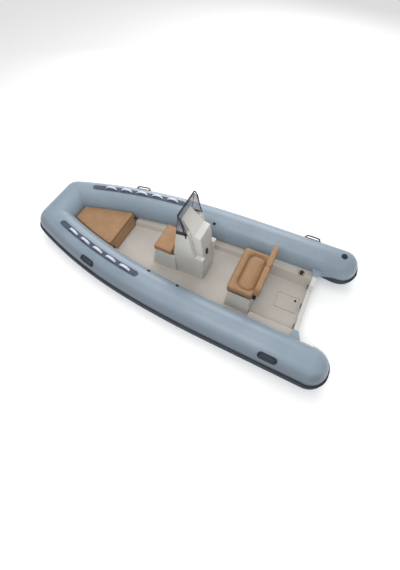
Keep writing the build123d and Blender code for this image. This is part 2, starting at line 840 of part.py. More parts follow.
helm_cushion_z = helm_rim_z + helm_rim_height + fit_gap
with BuildPart() as helm_cushion:
    with Locations((helm_middle_x, 0, helm_cushion_z + helm_cushion_thickness / 2)):
        Box(helm_length, 2 * helm_half_width, helm_cushion_thickness)
    fillet(helm_cushion.edges().filter_by(Axis.Z), 55)
    fillet(helm_cushion.faces().sort_by(Axis.Z)[-1].edges(), 30)

backrest_z = helm_cushion_z + helm_cushion_thickness + backrest_lift
backrest_x = helm_aft_x - backrest_thickness / 2 + backrest_lap
with BuildPart() as helm_backrest:
    with Locations((backrest_x, 0, backrest_z + backrest_height / 2)):
        Box(backrest_thickness, 2 * helm_half_width + 20, backrest_height)
    fillet(helm_backrest.edges().filter_by(Axis.X), 70)

with BuildPart() as backrest_brackets:
    bracket_z = helm_rim_z + fit_gap
    bracket_top = backrest_z - fit_gap
    bracket_front_x = helm_aft_x + helm_rim_inset
    for side in (-1, 1):
        bracket_y = side * (helm_half_width - bracket_inset)
        with Locations((backrest_x, bracket_y, (bracket_z + bracket_top) / 2)):
            Box(bracket_thickness, bracket_width, bracket_top - bracket_z)
        with Locations(((backrest_x + bracket_front_x) / 2, bracket_y, bracket_z + bracket_foot / 2)):
            Box(bracket_front_x - backrest_x, bracket_width, bracket_foot)

# ---------------------------------------------------------------- fittings
with BuildPart() as transom_drains:
    for drain_y in drain_stations:
        with BuildSketch(Plane.YZ.offset(transom_thickness)):
            with Locations((drain_y, sole_z + drain_height)):
                SlotOverall(*drain_slot)
        extrude(amount=drain_thickness)

with BuildPart() as bow_eye:
    with BuildSketch(side_view):
        with Locations((bow_eye_x, bow_eye_z)):
            Circle(eye_radius)
        with Locations((bow_eye_x, bow_eye_z + eye_radius)):
            Rectangle(2 * eye_radius, 2 * eye_radius)
        with Locations((bow_eye_x, bow_eye_z)):
            Circle(eye_bore_radius, mode=Mode.SUBTRACT)
    extrude(amount=eye_thickness / 2, both=True)
    add(hull_bottom.part, mode=Mode.SUBTRACT)

fitting_y = -(inner_y(fitting_x, aft_shelf_z) - fitting_tube_gap)
with BuildPart() as aft_fitting:
    with Locations((fitting_x, fitting_y, aft_shelf_z)):
        Box(*fitting_plate, align=(Align.CENTER, Align.CENTER, Align.MIN))
        Cylinder(
            fitting_radius,
            fitting_plate[2] + fitting_height,
            align=(Align.CENTER, Align.CENTER, Align.MIN),
        )

# ---------------------------------------------------------------- files
pieces = {
    "hull_bottom": hull_bottom,
    "transom": transom,
    "deck_liner": deck_liner,
    "stern_hatch": stern_hatch,
    "tube_port": tube_port,
    "tube_starboard": tube_starboard,
    "tube_bow": tube_bow,
    "rub_strake": rub_strake,
    "grip_strip_port": grip_strip_port,
    "grip_strip_starboard": grip_strip_starboard,
    "bow_grips_port": bow_grips_port,
    "bow_grips_starboard": bow_grips_starboard,
    "handle_pads": handle_pads,
    "handle_grips": handle_grips,
    "air_valves": air_valves,
    "relief_valve": relief_valve,
    "gusset_port": gusset_port,
    "gusset_starboard": gusset_starboard,
    "bow_locker": bow_locker,
    "bow_lid_panel": bow_lid_panel,
    "bow_cushion": bow_cushion,
    "bow_front_pad": bow_front_pad,
    "console_body": console_body,
    "windscreen": windscreen,
    "screen_rail": screen_rail,
    "screen_seals": screen_seals,
    "ledge_caps": ledge_caps,
    "console_latch": console_latch,
    "front_seat_base": front_seat_base,
    "front_seat_panel": front_seat_panel,
    "front_seat_cushion": front_seat_cushion,
    "front_back_pad": front_back_pad,
    "seat_box": seat_box,
    "helm_lid_panel": helm_lid_panel,
    "helm_cushion": helm_cushion,
    "helm_backrest": helm_backrest,
    "backrest_brackets": backrest_brackets,
    "transom_drains": transom_drains,
    "bow_eye": bow_eye,
    "aft_fitting": aft_fitting,
}
os.makedirs("parts", exist_ok=True)
for name, piece in pieces.items():
    piece.part.label = name
    export_step(piece.part, f"parts/{name}.step")
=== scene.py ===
import math

import bmesh
import bpy
from mathutils import Matrix, Vector
from mathutils.bvhtree import BVHTree


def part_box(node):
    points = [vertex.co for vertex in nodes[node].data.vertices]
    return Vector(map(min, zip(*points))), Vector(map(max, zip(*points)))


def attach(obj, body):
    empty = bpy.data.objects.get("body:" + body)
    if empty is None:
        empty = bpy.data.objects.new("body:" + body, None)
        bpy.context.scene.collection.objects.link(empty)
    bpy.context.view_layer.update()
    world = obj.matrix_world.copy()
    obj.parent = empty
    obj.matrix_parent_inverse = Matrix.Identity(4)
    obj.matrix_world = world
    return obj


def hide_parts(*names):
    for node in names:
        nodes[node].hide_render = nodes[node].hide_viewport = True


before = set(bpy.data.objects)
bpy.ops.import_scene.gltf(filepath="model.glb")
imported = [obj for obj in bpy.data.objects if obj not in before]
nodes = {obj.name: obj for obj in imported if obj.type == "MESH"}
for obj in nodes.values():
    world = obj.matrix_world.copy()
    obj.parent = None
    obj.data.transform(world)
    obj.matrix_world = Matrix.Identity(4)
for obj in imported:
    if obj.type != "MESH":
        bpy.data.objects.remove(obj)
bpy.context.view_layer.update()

# ------------------------------------------------------------------ sizes, metres
# The collar's centre line: straight sterns, a long side curve, then the bow shoulder.
TUBE_RADIUS = 0.2585
TUBE_Z = 0.267
HALF_SPACING = 0.859
STERN_SPLAY = math.radians(1.0)
STRAIGHT_END = 1.174
SIDE_ARC_END = 2.506
SIDE_ARC_RADIUS = 14.723
SHOULDER_ARC_RADIUS = 7.834

BOW_LINE = 4.359
STERN_TIP = -0.510
DOME_RADIUS = 0.235
DOME_FLAT = TUBE_RADIUS - DOME_RADIUS
STERN_REACH = 1.0               # aft of this the nearer end is the stern

# tapes: each lies on the fabric along its edges and stands off it between them
TAPE_EDGE = 0.0003
SEAM_TAPE_HALF = 0.017
SEAM_TAPE_LIFT = 0.0016
SEAM_TAPE_TURN = (4, 160)       # degrees round the tube: where it starts, and how far it goes
SEAM_SEARCH = 0.8               # distance from which the tube's skin is looked for
FLANGE_HALF = 0.034
FLANGE_LIFT = 0.0015
FLANGE_TILT = math.radians(-78.5)
GUSSET_ENDS = (-0.172, 0.205)

# rubbing strake: how far it stands out, at each height
STRAKE_SECTION = (
    (-0.012, 0.179), (0.022, 0.179), (0.030, 0.187), (0.030, 0.212), (0.015, 0.217),
    (0.015, 0.237), (0.030, 0.242), (0.030, 0.267), (0.022, 0.275), (-0.012, 0.275),
)
STRAKE_TURN = (-5, 95)          # degrees round the stern dome: where the tail starts, and how far
STRAKE_BED = 0.0006             # how far it sinks into the dome
STRAKE_END = -0.085             # forward end on the inner flank
STRAKE_FADE = (0.72, 1.5)       # share that it has lost there, and how late it is lost

# moulded grips, rubber strips, valves and handles on the tubes
GRIP_COUNT = 5
GRIP_FRONT = 3.725
GRIP_PITCH = 0.274
GRIP_HALF_LENGTH = 0.098
GRIP_HALF_WIDTH = 0.0205
GRIP_RISE = 0.043
GRIP_THICKNESS = (0.010, 0.004)  # at the feet, and what the crown adds
GRIP_NARROWING = 0.16           # share of the width that the feet lose
VALVE_STATIONS = (1.815, 2.323)
VALVE_TILT = math.radians(-41.0)
VALVE_LIFT = 0.0085
RELIEF_X = -0.240
STRIP_ENDS = (2.435, 3.995)
STRIP_HALF_WIDTH = 0.048
STRIP_RIM_INSET = 0.006
PAD_THICKNESS = 0.004
HANDLE_STATIONS = (0.268, 3.235)
HANDLE_TILT = math.radians(53.0)
HANDLE_PAD = (0.134, 0.056)     # half length, half width
HANDLE_RIMS = ((0.007, 0.040), (0.024, 0.026))  # inset and corner of each rim
HANDLE_HALF_LENGTH = 0.108
HANDLE_RISE = 0.038
HANDLE_BAR = (0.0165, 0.0105)   # half width, half thickness
HANDLE_BEND = 0.42              # the smaller, the squarer the bends above the legs
FOOT_LIFT = 0.001               # what keeps a foot's rim clear of the tube's skin

# round fittings: radius and height of each ring of the turned profile
VALVE_CAP = (
    (0.0235, -0.002), (0.0235, 0.0015), (0.021, 0.003), (0.0175, 0.003), (0.016, 0.0005),
    (0.013, 0.0005), (0.0115, 0.004), (0.004, 0.0045), (0.0, 0.0045),
)
RELIEF_CAP = (
    (0.0435, -0.003), (0.0435, 0.002), (0.040, 0.0045), (0.034, 0.0045), (0.031, 0.001),
    (0.026, 0.001), (0.023, 0.0055), (0.008, 0.0065), (0.0, 0.0065),
)
HATCH_LATCH = ((0.019, 0.0), (0.019, 0.003), (0.015, 0.0045), (0.014, 0.002), (0.0, 0.002))
HATCH_LATCH_PLACE = (0.159, -0.077, 0.096)
FILLER_CAP = (
    (0.0290, -0.0345), (0.0290, 0.002), (0.0275, 0.0065), (0.021, 0.0078), (0.020, 0.0055),
    (0.0, 0.0055),
)
FILLER_CAP_SINK = 0.004
FILLER_PLATE_INSET = 0.003
FILLER_PLATE_TOP = 0.009        # above the foot of the fitting
DRAIN_STATIONS = (-0.364, 0.0, 0.364)
DRAIN_FACE_X = 0.0712
DRAIN_Z = 0.158
DRAIN_HALF = (0.042, 0.0115)
DRAIN_CORNER = 0.0112

# helm cushion: line of the sewn-in panel on its top
HELM_PANEL_MIDDLE = (0.899, 0.0)
HELM_PANEL_HALF = (0.126, 0.300)
HELM_PANEL_CORNER = 0.098

# bow lid: the skirt under the pad's aft edge, as distance forward and height on the board
SKIRT_PROFILE = (
    (0.0005, 0.0015), (-0.0135, 0.0015), (-0.0105, 0.010), (-0.006, 0.0205), (0.0005, 0.0225),
)
SKIRT_CORE = (0.0005, 0.010)    # what its closed ends shrink to
SKIRT_END_INSET = 0.012
SKIRT_END_ROUND = 0.006
LID_EDGE_OUT = 0.0016
LID_EDGE_IN = 0.004

# windscreen side pane: corners in side view, x and z
SCREEN_SIDE = [(1.992, 1.092), (1.815, 1.130), (1.898, 1.396), (1.938, 1.436)]
SCREEN_FOOT = [(1.988, 1.095), (1.820, 1.131), (1.837, 1.186), (1.979, 1.158)]
SCREEN_HALF_WIDTH = 0.2275
SCREEN_FOOT_FACES = (0.2304, 0.2384)
SCREEN_TRIM_RADIUS = 0.0036

# rounding of the glass-fibre mouldings' edges
MOULDING_ROUND = 0.010

# camera: high on the port quarter
LENS = 18.908
CAMERA_PLACE = (0.5643, 2.3642, 4.2615)
CAMERA_RIGHT = Vector((-0.89820, -0.43953, -0.00698))
CAMERA_UP = Vector((0.38154, -0.78739, 0.48419))
CAMERA_BACK = Vector((-0.21832, 0.43223, 0.87494))

# stage and lights
FLOOR_REACH = 30.0
WORLD_LIGHT = 0.51
LIGHTS = (                      # name, place, aim, size, power
    ("overhead", (1.9, 0.0, 6.3), (1.9, 0.0, 0.0), 4.5, 78),
    ("bow_top", (4.6, -0.5, 5.0), (3.0, 0.0, 0.0), 3.5, 36),
    ("far_bow", (5.6, -5.8, 2.6), (2.2, 0.6, 0.4), 3.6, 92),
    ("far_side", (2.0, -8.5, 5.5), (2.0, 0.4, 0.4), 6.0, 310),
    ("port_top", (1.5, 4.5, 6.5), (1.8, 0.0, 0.4), 4.0, 158),
)


# ------------------------------------------------------------------ shader maths
class Sig:
    """A shader socket that adds its own Math and Mix nodes when it is used in an expression."""

    def __init__(self, tree, socket=None):
        self.tree = tree
        self.socket = socket

    def feed(self, socket, value):
        """Link another Sig into a socket, or set the socket to a plain value."""
        if isinstance(value, Sig):
            self.tree.links.new(value.socket, socket)
        elif socket.type == "RGBA":
            socket.default_value = (*value, 1)
        else:
            socket.default_value = value

    def node(self, kind, inputs=None, out=0, **settings):
        made = self.tree.nodes.new(kind)
        for key, value in settings.items():
            setattr(made, key, value)
        for key, value in (inputs or {}).items():
            self.feed(made.inputs[key], value)
        return Sig(self.tree, made.outputs[out])

    def math(self, operation, a, b=0.0):
        return self.node("ShaderNodeMath", {0: a, 1: b}, operation=operation)

    def __add__(self, other):
        return self.math("ADD", self, other)

    __radd__ = __add__

    def __sub__(self, other):
        return self.math("SUBTRACT", self, other)

    def __rsub__(self, other):
        return self.math("SUBTRACT", other, self)

    def __mul__(self, other):
        return self.math("MULTIPLY", self, other)

    __rmul__ = __mul__

    def __gt__(self, other):
        return self.math("GREATER_THAN", self, other)

    def clamp(self, low=0.0, high=1.0):
        return self.node("ShaderNodeClamp", {"Value": self, "Min": low, "Max": high})

    def soft(self, low, high):
        """0 below low, 1 above high, smooth between."""
        inputs = {"Value": self, "From Min": low, "From Max": high}
        return self.node("ShaderNodeMapRange", inputs, interpolation_type="SMOOTHSTEP")

    def mix(self, first, second):
        """Colour that goes from first to second as this value goes from 0 to 1."""
        inputs = {0: self, 6: first, 7: second}
        return self.node("ShaderNodeMix", inputs, out=2, data_type="RGBA")

    def parts(self):
        """The three numbers of a vector."""
        split = self.node("ShaderNodeSeparateXYZ", {0: self}).socket.node
        return [Sig(self.tree, output) for output in split.outputs]


def tone(red, green, blue):
    """Linear colour from the usual 0 to 255 display values."""
    return tuple(((c / 255 + 0.055) / 1.055) ** 2.4 if c > 10 else c / 3294 for c in (red, green, blue))


def shaded(colour, depth):
    """The same colour, darker."""
    return tuple(part * depth for part in colour)


class Finish:
    """A material whose look is worked out from the position on the boat."""

    def __init__(self, name):
        self.material = bpy.data.materials.new(name)
        self.material.use_nodes = True
        tree = self.material.node_tree
        self.surface = tree.nodes["Principled BSDF"]
        self.place = Sig(tree).node("ShaderNodeTexCoord", out="Object")
        self.x, self.y, self.z = self.place.parts()

    def noise(self, scale, detail=3.0, stretch=None):
        place = self.place
        if stretch:
            place = place.node("ShaderNodeMapping", {"Vector": place, "Scale": stretch})
        inputs = {"Vector": place, "Scale": scale, "Detail": detail, "Roughness": 0.55}
        return self.place.node("ShaderNodeTexNoise", inputs, out="Fac")

    def cells(self, scale):
        """Distance to the nearest of many scattered points."""
        inputs = {"Vector": self.place, "Scale": scale}
        return self.place.node("ShaderNodeTexVoronoi", inputs, out="Distance")

    def wave(self, scale, direction):
        inputs = {"Vector": self.place, "Scale": scale}
        return self.place.node("ShaderNodeTexWave", inputs, out="Fac", bands_direction=direction)

    # outward() places the tube fabric's painted flank shade
    def outward(self):
        """1 where the surface faces straight out from the boat's side, below 0 where it faces in.

        Forward of the stern a face that looks to the bow counts half, and so does one that looks
        aft at the stern.
        """
        facing = self.place.node("ShaderNodeNewGeometry", out="Normal").parts()
        across = facing[1] * ((self.y > 0.0) * 2.0 - 1.0)
        along = facing[0] * ((self.x > STERN_REACH) * 2.0 - 1.0)
        return across + along.clamp() * 0.5

    def set(self, **values):
        for key, value in values.items():
            self.place.feed(self.surface.inputs[key.replace("_", " ")], value)

    def bump(self, height, distance, strength):
        inputs = {"Height": height, "Distance": distance, "Strength": strength}
        self.set(Normal=self.place.node("ShaderNodeBump", inputs, out="Normal"))


# ------------------------------------------------------------------ materials
def tube_fabric(name="tube_fabric", depth=1.0):
    """Coated fabric: satin, fine in the grain, with painted shade darkening the flanks outside."""
    f = Finish(name)
    cloud = f.noise(1.7, 4)
    fine = f.noise(38, 3)
    shade = (cloud * 0.7 + fine * 0.3).soft(0.3, 0.72)
    unshaded_fabric_tone = shade.mix(shaded(tone(133, 148, 161), depth), shaded(tone(144, 160, 173), depth))
    # painted shade: the outer flanks and the stern domes' aft ends are darkened towards a deep slate,
    # where the light falls off
    painted_flank_shade = (f.outward() + cloud * 0.12).soft(0.62, 1.08)
    f.set(Base_Color=(painted_flank_shade * 0.62).mix(unshaded_fabric_tone, tone(70, 80, 92)))
    f.set(Roughness=0.29 + 0.10 * fine, Specular_IOR_Level=0.5)
    weave = f.noise(900, 2) * 0.6 + f.noise(90, 2) * 0.4
    f.bump(weave, 0.0012, 0.22)
    return f.material


def strake_rubber():
    """Black rubber with dust in patches."""
    f = Finish("strake_rubber")
    grain = f.noise(240, 3)
    dust = f.noise(9, 4).soft(0.45, 0.75)
    f.set(Base_Color=(dust * 0.5).mix(tone(38, 44, 56), tone(58, 66, 80)), Roughness=0.5 + 0.15 * grain)
    f.bump(grain, 0.0008, 0.3)
    return f.material


def strip_rubber():
    """Slate rubber, paler where feet have worn it."""
    f = Finish("strip_rubber")
    grain = f.noise(420, 2)
    worn = f.noise(12, 4).soft(0.35, 0.8)
    f.set(Base_Color=worn.mix(tone(62, 74, 92), tone(80, 92, 110)), Roughness=0.55 + 0.15 * grain)
    f.bump(grain, 0.0010, 0.35)
    return f.material


def fine_grained(name, low, high, scale, roughness, bump, metallic=0.0):
    """Plain stuff with one even grain.

    roughness is its least value and what the grain adds; bump is the depth and strength.
    """
    f = Finish(name)
    grain = f.noise(scale, 2)
    f.set(Base_Color=grain.mix(low, high), Metallic=metallic)
    f.set(Roughness=roughness[0] + roughness[1] * grain)
    f.bump(grain, *bump)
    return f.material


def grip_plastic():
    low, high = tone(196, 198, 214), tone(212, 214, 228)
    return fine_grained("grip_plastic", low, high, 160, (0.34, 0.1), (0.0005, 0.2))


def black_plastic(name="black_plastic", dull=0.38):
    low, high = tone(20, 21, 24), tone(34, 35, 40)
    return fine_grained(name, low, high, 300, (dull, 0.2), (0.0006, 0.25))


def handle_rubber():
    low, high = tone(24, 28, 38), tone(38, 43, 54)
    return fine_grained("handle_rubber", low, high, 220, (0.5, 0.15), (0.0008, 0.3))


def dark_metal():
    low, high = tone(40, 38, 44), tone(58, 56, 62)
    return fine_grained("dark_metal", low, high, 260, (0.28, 0.12), (0.0004, 0.2), metallic=0.6)


def gelcoat(name, low, high, tread=False):
    """Moulded resin: smooth and glossy, with a fine raised tread on the walking surfaces."""
    f = Finish(name)
    cloud = f.noise(2.6, 5).soft(0.3, 0.75)
    fine = f.noise(60, 3)
    f.set(Base_Color=(cloud * 0.8 + fine * 0.2).mix(low, high), Roughness=0.30 + 0.16 * fine)
    f.set(Coat_Weight=0.25, Coat_Roughness=0.18)
    if tread:
        f.bump(1 - f.cells(130).soft(0.1, 0.42), 0.0012, 0.5)
    else:
        f.bump(f.noise(14, 3), 0.004, 0.10)
    return f.material


def cushion_vinyl():
    """Marine upholstery: soft sheen, leather grain, cloudy from use."""
    f = Finish("cushion_vinyl")
    grain = f.cells(420) * 0.6 + f.noise(700, 2) * 0.4
    cloud = f.noise(7, 4).soft(0.3, 0.75)
    f.set(Base_Color=cloud.mix(tone(154, 118, 84), tone(161, 126, 92)), Roughness=0.42 + 0.14 * grain)
    f.set(Specular_IOR_Level=0.4)
    f.bump(grain, 0.0009, 0.35)
    return f.material


def welt_vinyl():
    """Piping in the cushions' own vinyl, a little darker, and paler where it has worn."""
    f = Finish("welt_vinyl")
    worn = f.noise(30, 3).soft(0.3, 0.75)
    f.set(Base_Color=worn.mix(tone(132, 98, 66), tone(150, 114, 80)), Roughness=0.45 + 0.1 * worn)
    f.bump(f.noise(500, 2), 0.0005, 0.3)
    return f.material


def seam_thread():
    """Twisted thread."""
    f = Finish("seam_thread")
    twist = f.wave(900, "DIAGONAL")
    f.set(Base_Color=twist.mix(tone(112, 82, 54), tone(140, 104, 70)), Roughness=0.7)
    f.bump(twist, 0.0004, 0.4)
    return f.material


def screen_acrylic():
    """Smoked sheet, its tint deeper towards the top edge."""
    f = Finish("screen_acrylic")
    haze = f.noise(5, 3)
    tint = f.z.soft(1.12, 1.40)
    smoke = (tint * 0.85 + haze * 0.15).mix(tone(172, 164, 180), tone(84, 78, 94))
    f.set(Base_Color=smoke, Roughness=0.06 + 0.05 * haze)
    f.set(Alpha=0.27 + 0.20 * tint + 0.04 * haze, IOR=1.49, Specular_IOR_Level=0.6)
    f.material.surface_render_method = "BLENDED"
    return f.material


def steel():
    """Brushed steel, its lines along the boat."""
    f = Finish("steel")
    brushed = f.noise(120, 3, stretch=(0.2, 4, 4))
    f.set(Base_Color=brushed.mix(tone(170, 170, 172), tone(198, 198, 200)), Metallic=1.0)
    f.set(Roughness=0.2 + 0.2 * brushed)
    f.bump(brushed, 0.0003, 0.2)
    return f.material


def pale_floor():
    f = Finish("pale_floor")
    f.set(Base_Color=(0.97, 0.97, 0.97), Roughness=0.9, Specular_IOR_Level=0.1)
    f.set(Emission_Color=(1.0, 1.0, 1.0), Emission_Strength=0.20)
    return f.material


FABRIC = tube_fabric()
TAPE = tube_fabric("seam_tape", 0.96)
STRAKE = strake_rubber()
STRIP = strip_rubber()
GRIP = grip_plastic()
HANDLE = handle_rubber()
BLACK = black_plastic()
LATCH = black_plastic("latch_plastic", 0.55)
TRIM = black_plastic("screen_trim", 0.3)
DECK = gelcoat("deck_gelcoat", tone(180, 173, 165), tone(191, 185, 178), tread=True)
MOULDING = gelcoat("console_gelcoat", tone(200, 198, 192), tone(211, 209, 204))
HULL = gelcoat("hull_gelcoat", tone(196, 196, 192), tone(210, 210, 206))
VINYL = cushion_vinyl()
WELT = welt_vinyl()
THREAD = seam_thread()
SCREEN = screen_acrylic()
DARK_METAL = dark_metal()
STEEL = steel()

NODE_FINISH = {
    FABRIC: ("tube_port", "tube_starboard", "tube_bow", "gusset_port", "gusset_starboard"),
    STRAKE: ("rub_strake",),
    STRIP: ("grip_strip_port", "grip_strip_starboard", "handle_pads"),
    GRIP: ("bow_grips_port", "bow_grips_starboard"),
    HANDLE: ("handle_grips",),
    BLACK: (
        "air_valves", "relief_valve", "screen_seals", "console_latch",
        "helm_lid_panel", "backrest_brackets", "transom_drains",
    ),
    DECK: ("deck_liner", "stern_hatch"),
    HULL: ("hull_bottom", "transom"),
    MOULDING: (
        "bow_locker", "console_body", "ledge_caps", "front_seat_base", "seat_box",
        "bow_lid_panel", "front_seat_panel", "aft_fitting",
    ),
    VINYL: (
        "bow_cushion", "bow_front_pad", "front_seat_cushion", "front_back_pad", "helm_cushion",
        "helm_backrest",
    ),
    SCREEN: ("windscreen",),
    DARK_METAL: ("screen_rail",),
    STEEL: ("bow_eye",),
}
for finish, names in NODE_FINISH.items():
    for name in names:
        mesh = nodes[name].data
        mesh.materials.clear()
        mesh.materials.append(finish)


# ------------------------------------------------------------------ lines on the collar
def heading(x):
    """Angle that the collar has turned inboard at station x."""
    if x <= STRAIGHT_END:
        return STERN_SPLAY
    sine = math.sin(STERN_SPLAY) + (min(x, SIDE_ARC_END) - STRAIGHT_END) / SIDE_ARC_RADIUS
    if x > SIDE_ARC_END:
        sine += (x - SIDE_ARC_END) / SHOULDER_ARC_RADIUS
    return math.asin(sine)


def collar_y(x):
    """Distance of a side tube's centre from the centreline at station x."""
    y = HALF_SPACING - min(x, STRAIGHT_END) * math.tan(STERN_SPLAY)
    if x > STRAIGHT_END:
        turned = math.cos(heading(min(x, SIDE_ARC_END)))
        y -= SIDE_ARC_RADIUS * (math.cos(STERN_SPLAY) - turned)
    if x > SIDE_ARC_END:
        turned = math.cos(heading(SIDE_ARC_END)) - math.cos(heading(x))
        y -= SHOULDER_ARC_RADIUS * turned
    return y


def on_tube(x, tilt, lift=0.0, side=1):
    """Point on a side tube's skin at station x, tilt from its top towards outboard."""
    turn = heading(x)
    reach = (TUBE_RADIUS + lift) * math.sin(tilt)
    up = TUBE_Z + (TUBE_RADIUS + lift) * math.cos(tilt)
    return Vector((x + reach * math.sin(turn), side * (collar_y(x) + reach * math.cos(turn)), up))


def near_tube(x, across, along, lift, tilt, side):
    """Point on a tube near a station: across and along are distances on its skin."""
    station = x + along * math.cos(heading(x))
    return on_tube(station, tilt + across / TUBE_RADIUS, lift, side)


# ------------------------------------------------------------------ flat lines
def rounded_ring(middle, half, corner, step=0.008):
    """Points of a rounded rectangle: flat pairs, counter-clockwise."""
    points = []
    for sx, sy, first in ((1, 1, 0), (-1, 1, 90), (-1, -1, 180), (1, -1, 270)):
        cx = middle[0] + sx * (half[0] - corner)
        cy = middle[1] + sy * (half[1] - corner)
        turns = max(3, int(corner * math.pi / 2 / step))
        for i in range(turns + 1):
            angle = math.radians(first + 90 * i / turns)
            points.append((cx + corner * math.cos(angle), cy + corner * math.sin(angle)))
    return spaced(points, step)


def spaced(points, step, closed=True):
    """The same line with its points about one step apart."""
    ends = points[1:] + points[:1] if closed else points[1:]
    line = []
    for a, b in zip(points, ends):
        parts = max(1, round(math.dist(a, b) / step))
        for i in range(parts):
            line.append(tuple(p + (q - p) * i / parts for p, q in zip(a, b)))
    return line if closed else line + [points[-1]]


def ring_gap(x, y, middle, half, corner):
    """Distance outside a rounded rectangle, negative inside it."""
    qx = abs(x - middle[0]) - half[0] + corner
    qy = abs(y - middle[1]) - half[1] + corner
    return math.hypot(max(qx, 0), max(qy, 0)) + min(max(qx, qy), 0) - corner


def grown(half, gap):
    """Half sizes of a rectangle made wider by gap on every side."""
    return half[0] + gap, half[1] + gap


def plan_outline(node):
    """Plan outline of a node's solid, in order."""
    corners = [(c.co.x, c.co.y) for c in nodes[node].data.vertices]
    return convex_line(sorted(set((round(x, 5), round(y, 5)) for x, y in corners)))


def convex_line(points):
    """Outline of a set of flat points, counter-clockwise."""
    halves = []
    for run in (points, points[::-1]):
        line = []
        for p in run:
            while len(line) > 1 and turn_of(line[-2], line[-1], p) <= 0:
                line.pop()
            line.append(p)
        halves += line[:-1]
    return halves


def turn_of(a, b, c):
    """Above 0 where the way from a over b to c turns left."""
    return (b[0] - a[0]) * (c[1] - a[1]) - (b[1] - a[1]) * (c[0] - a[0])


def edge_gap(x, y, line):
    """Distance from a point inside an outline to the nearest of its sides."""
    nearest = 1.0
    for (ax, ay), (bx, by) in zip(line, line[1:] + line[:1]):
        dx, dy = bx - ax, by - ay
        share = max(0.0, min(1.0, ((x - ax) * dx + (y - ay) * dy) / (dx * dx + dy * dy)))
        nearest = min(nearest, math.hypot(x - ax - share * dx, y - ay - share * dy))
    return nearest


def centre_of(line):
    """Mean of a flat line's points."""
    return sum(p[0] for p in line) / len(line), sum(p[1] for p in line) / len(line)


def inset_line(line, gap):
    """A convex outline moved inward by gap, towards its middle."""
    cx, cy = centre_of(line)
    moved = []
    for x, y in line:
        reach = math.hypot(x - cx, y - cy)
        moved.append((x - (x - cx) * gap / reach, y - (y - cy) * gap / reach))
    return moved


def squared(value, power):
    """A sine or cosine pushed towards 1, which turns a round section squarer."""
    return math.copysign(abs(value) ** power, value)


def spread(count):
    """Even shares from -1 to 1."""
    return [2 * i / (count - 1) - 1 for i in range(count)]


def round_turns(count):
    """Even angles round a full turn."""
    return [2 * math.pi * i / count for i in range(count)]


# ------------------------------------------------------------------ making pieces
def piece_of(name, mesh, finish, body, slot, *replaced):
    """A finished piece that rides on a body."""
    piece = bpy.data.objects.new(name, mesh)
    bpy.context.scene.collection.objects.link(piece)
    mesh.materials.clear()
    mesh.materials.append(finish)
    smooth(mesh)
    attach(piece, body)
    if replaced:
        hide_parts(*replaced)
    return piece


def smooth(mesh):
    mesh.polygons.foreach_set("use_smooth", [True] * len(mesh.polygons))


def worked(piece):
    """Work the piece's modifiers into its mesh."""
    depsgraph = bpy.context.evaluated_depsgraph_get()
    mesh = bpy.data.meshes.new_from_object(piece.evaluated_get(depsgraph))
    piece.modifiers.clear()
    piece.vertex_groups.clear()
    piece.data = mesh


def mesh_of(name, corners, faces):
    mesh = bpy.data.meshes.new(name)
    mesh.from_pydata(corners, [], faces)
    return mesh


def welded(node):
    """A node's mesh opened for editing, with corners that lie together made one."""
    work = bmesh.new()
    work.from_mesh(nodes[node].data)
    bmesh.ops.remove_doubles(work, verts=work.verts, dist=2e-5)
    return work


def edited_mesh(name, work):
    """Mesh made from what was opened for editing."""
    mesh = bpy.data.meshes.new(name)
    work.to_mesh(mesh)
    work.free()
    return mesh


def faced_out(mesh, bevel=0.0):
    """The mesh with all its faces turned outward, and its edges rounded by the bevel."""
    work = bmesh.new()
    work.from_mesh(mesh)
    bmesh.ops.recalc_face_normals(work, faces=work.faces)
    if bevel:
        bmesh.ops.bevel(work, geom=list(work.edges), offset=bevel, segments=2, affect="EDGES")
    work.to_mesh(mesh)
    work.free()
    return mesh


def add_skin(corners, faces, rings, closed=False):
    """Add the skin over a run of rings of points; a run that isn't closed gets end caps."""
    first = len(corners)
    count = len(rings)
    sides = len(rings[0])
    for ring in rings:
        corners += ring
    for i in range(count if closed else count - 1):
        a = first + i * sides
        b = first + (i + 1) % count * sides
        for j in range(sides):
            k = (j + 1) % sides
            faces.append((a + j, a + k, b + k, b + j))
    if not closed:
        faces.append([first + j for j in reversed(range(sides))])
        faces.append([first + (count - 1) * sides + j for j in range(sides)])


def bars(name, lines, radius, finish, body, slot, closed=True, sides=8):
    """Round bars along lines of points: welts, borders and trim, as one piece."""
    corners = []
    faces = []
    for line in lines:
        points = [Vector(p) for p in line]
        count = len(points)
        side = None
        rings = []
        for i, point in enumerate(points):
            before = points[i - 1] if closed or i else point
            after = points[(i + 1) % count] if closed or i < count - 1 else point
            ahead = (after - before).normalized()
            side = side or ahead.orthogonal()
            side = (side - ahead * side.dot(ahead)).normalized()
            other = ahead.cross(side)
            ring = []
            for angle in round_turns(sides):
                ring.append(point + (side * math.cos(angle) + other * math.sin(angle)) * radius)
            rings.append(ring)
        add_skin(corners, faces, rings, closed)
    return piece_of(name, mesh_of(name, corners, faces), finish, body, slot)


def lathed(name, profile, places, finish, body, slot, sides=32):
    """Round fittings: a profile of (radius, height) turned about each (place, outward) pair."""
    corners = []
    faces = []
    for place, outward in places:
        up = Vector(outward).normalized()
        side = up.orthogonal().normalized()
        other = up.cross(side)
        rings = []
        for radius, height in profile:
            ring = []
            for angle in round_turns(sides):
                spoke = side * math.cos(angle) + other * math.sin(angle)
                ring.append(Vector(place) + spoke * radius + up * height)
            rings.append(ring)
        add_skin(corners, faces, rings)
    mesh = mesh_of(name, corners, faces)
    piece_of(name, mesh, finish, body, slot)
    mesh.set_sharp_from_angle(angle=math.radians(40))


def ribbon(name, rows, finish, body, slot, closed=False):
    """Thin cover laid as rows of points across a strip."""
    corners = [point for row in rows for point in row]
    width = len(rows[0])
    faces = []
    for i in range(len(rows) if closed else len(rows) - 1):
        below = i * width
        above = (i + 1) % len(rows) * width
        for j in range(width - 1):
            faces.append((below + j, below + j + 1, above + j + 1, above + j))
    piece_of(name, faced_out(mesh_of(name, corners, faces)), finish, body, slot)


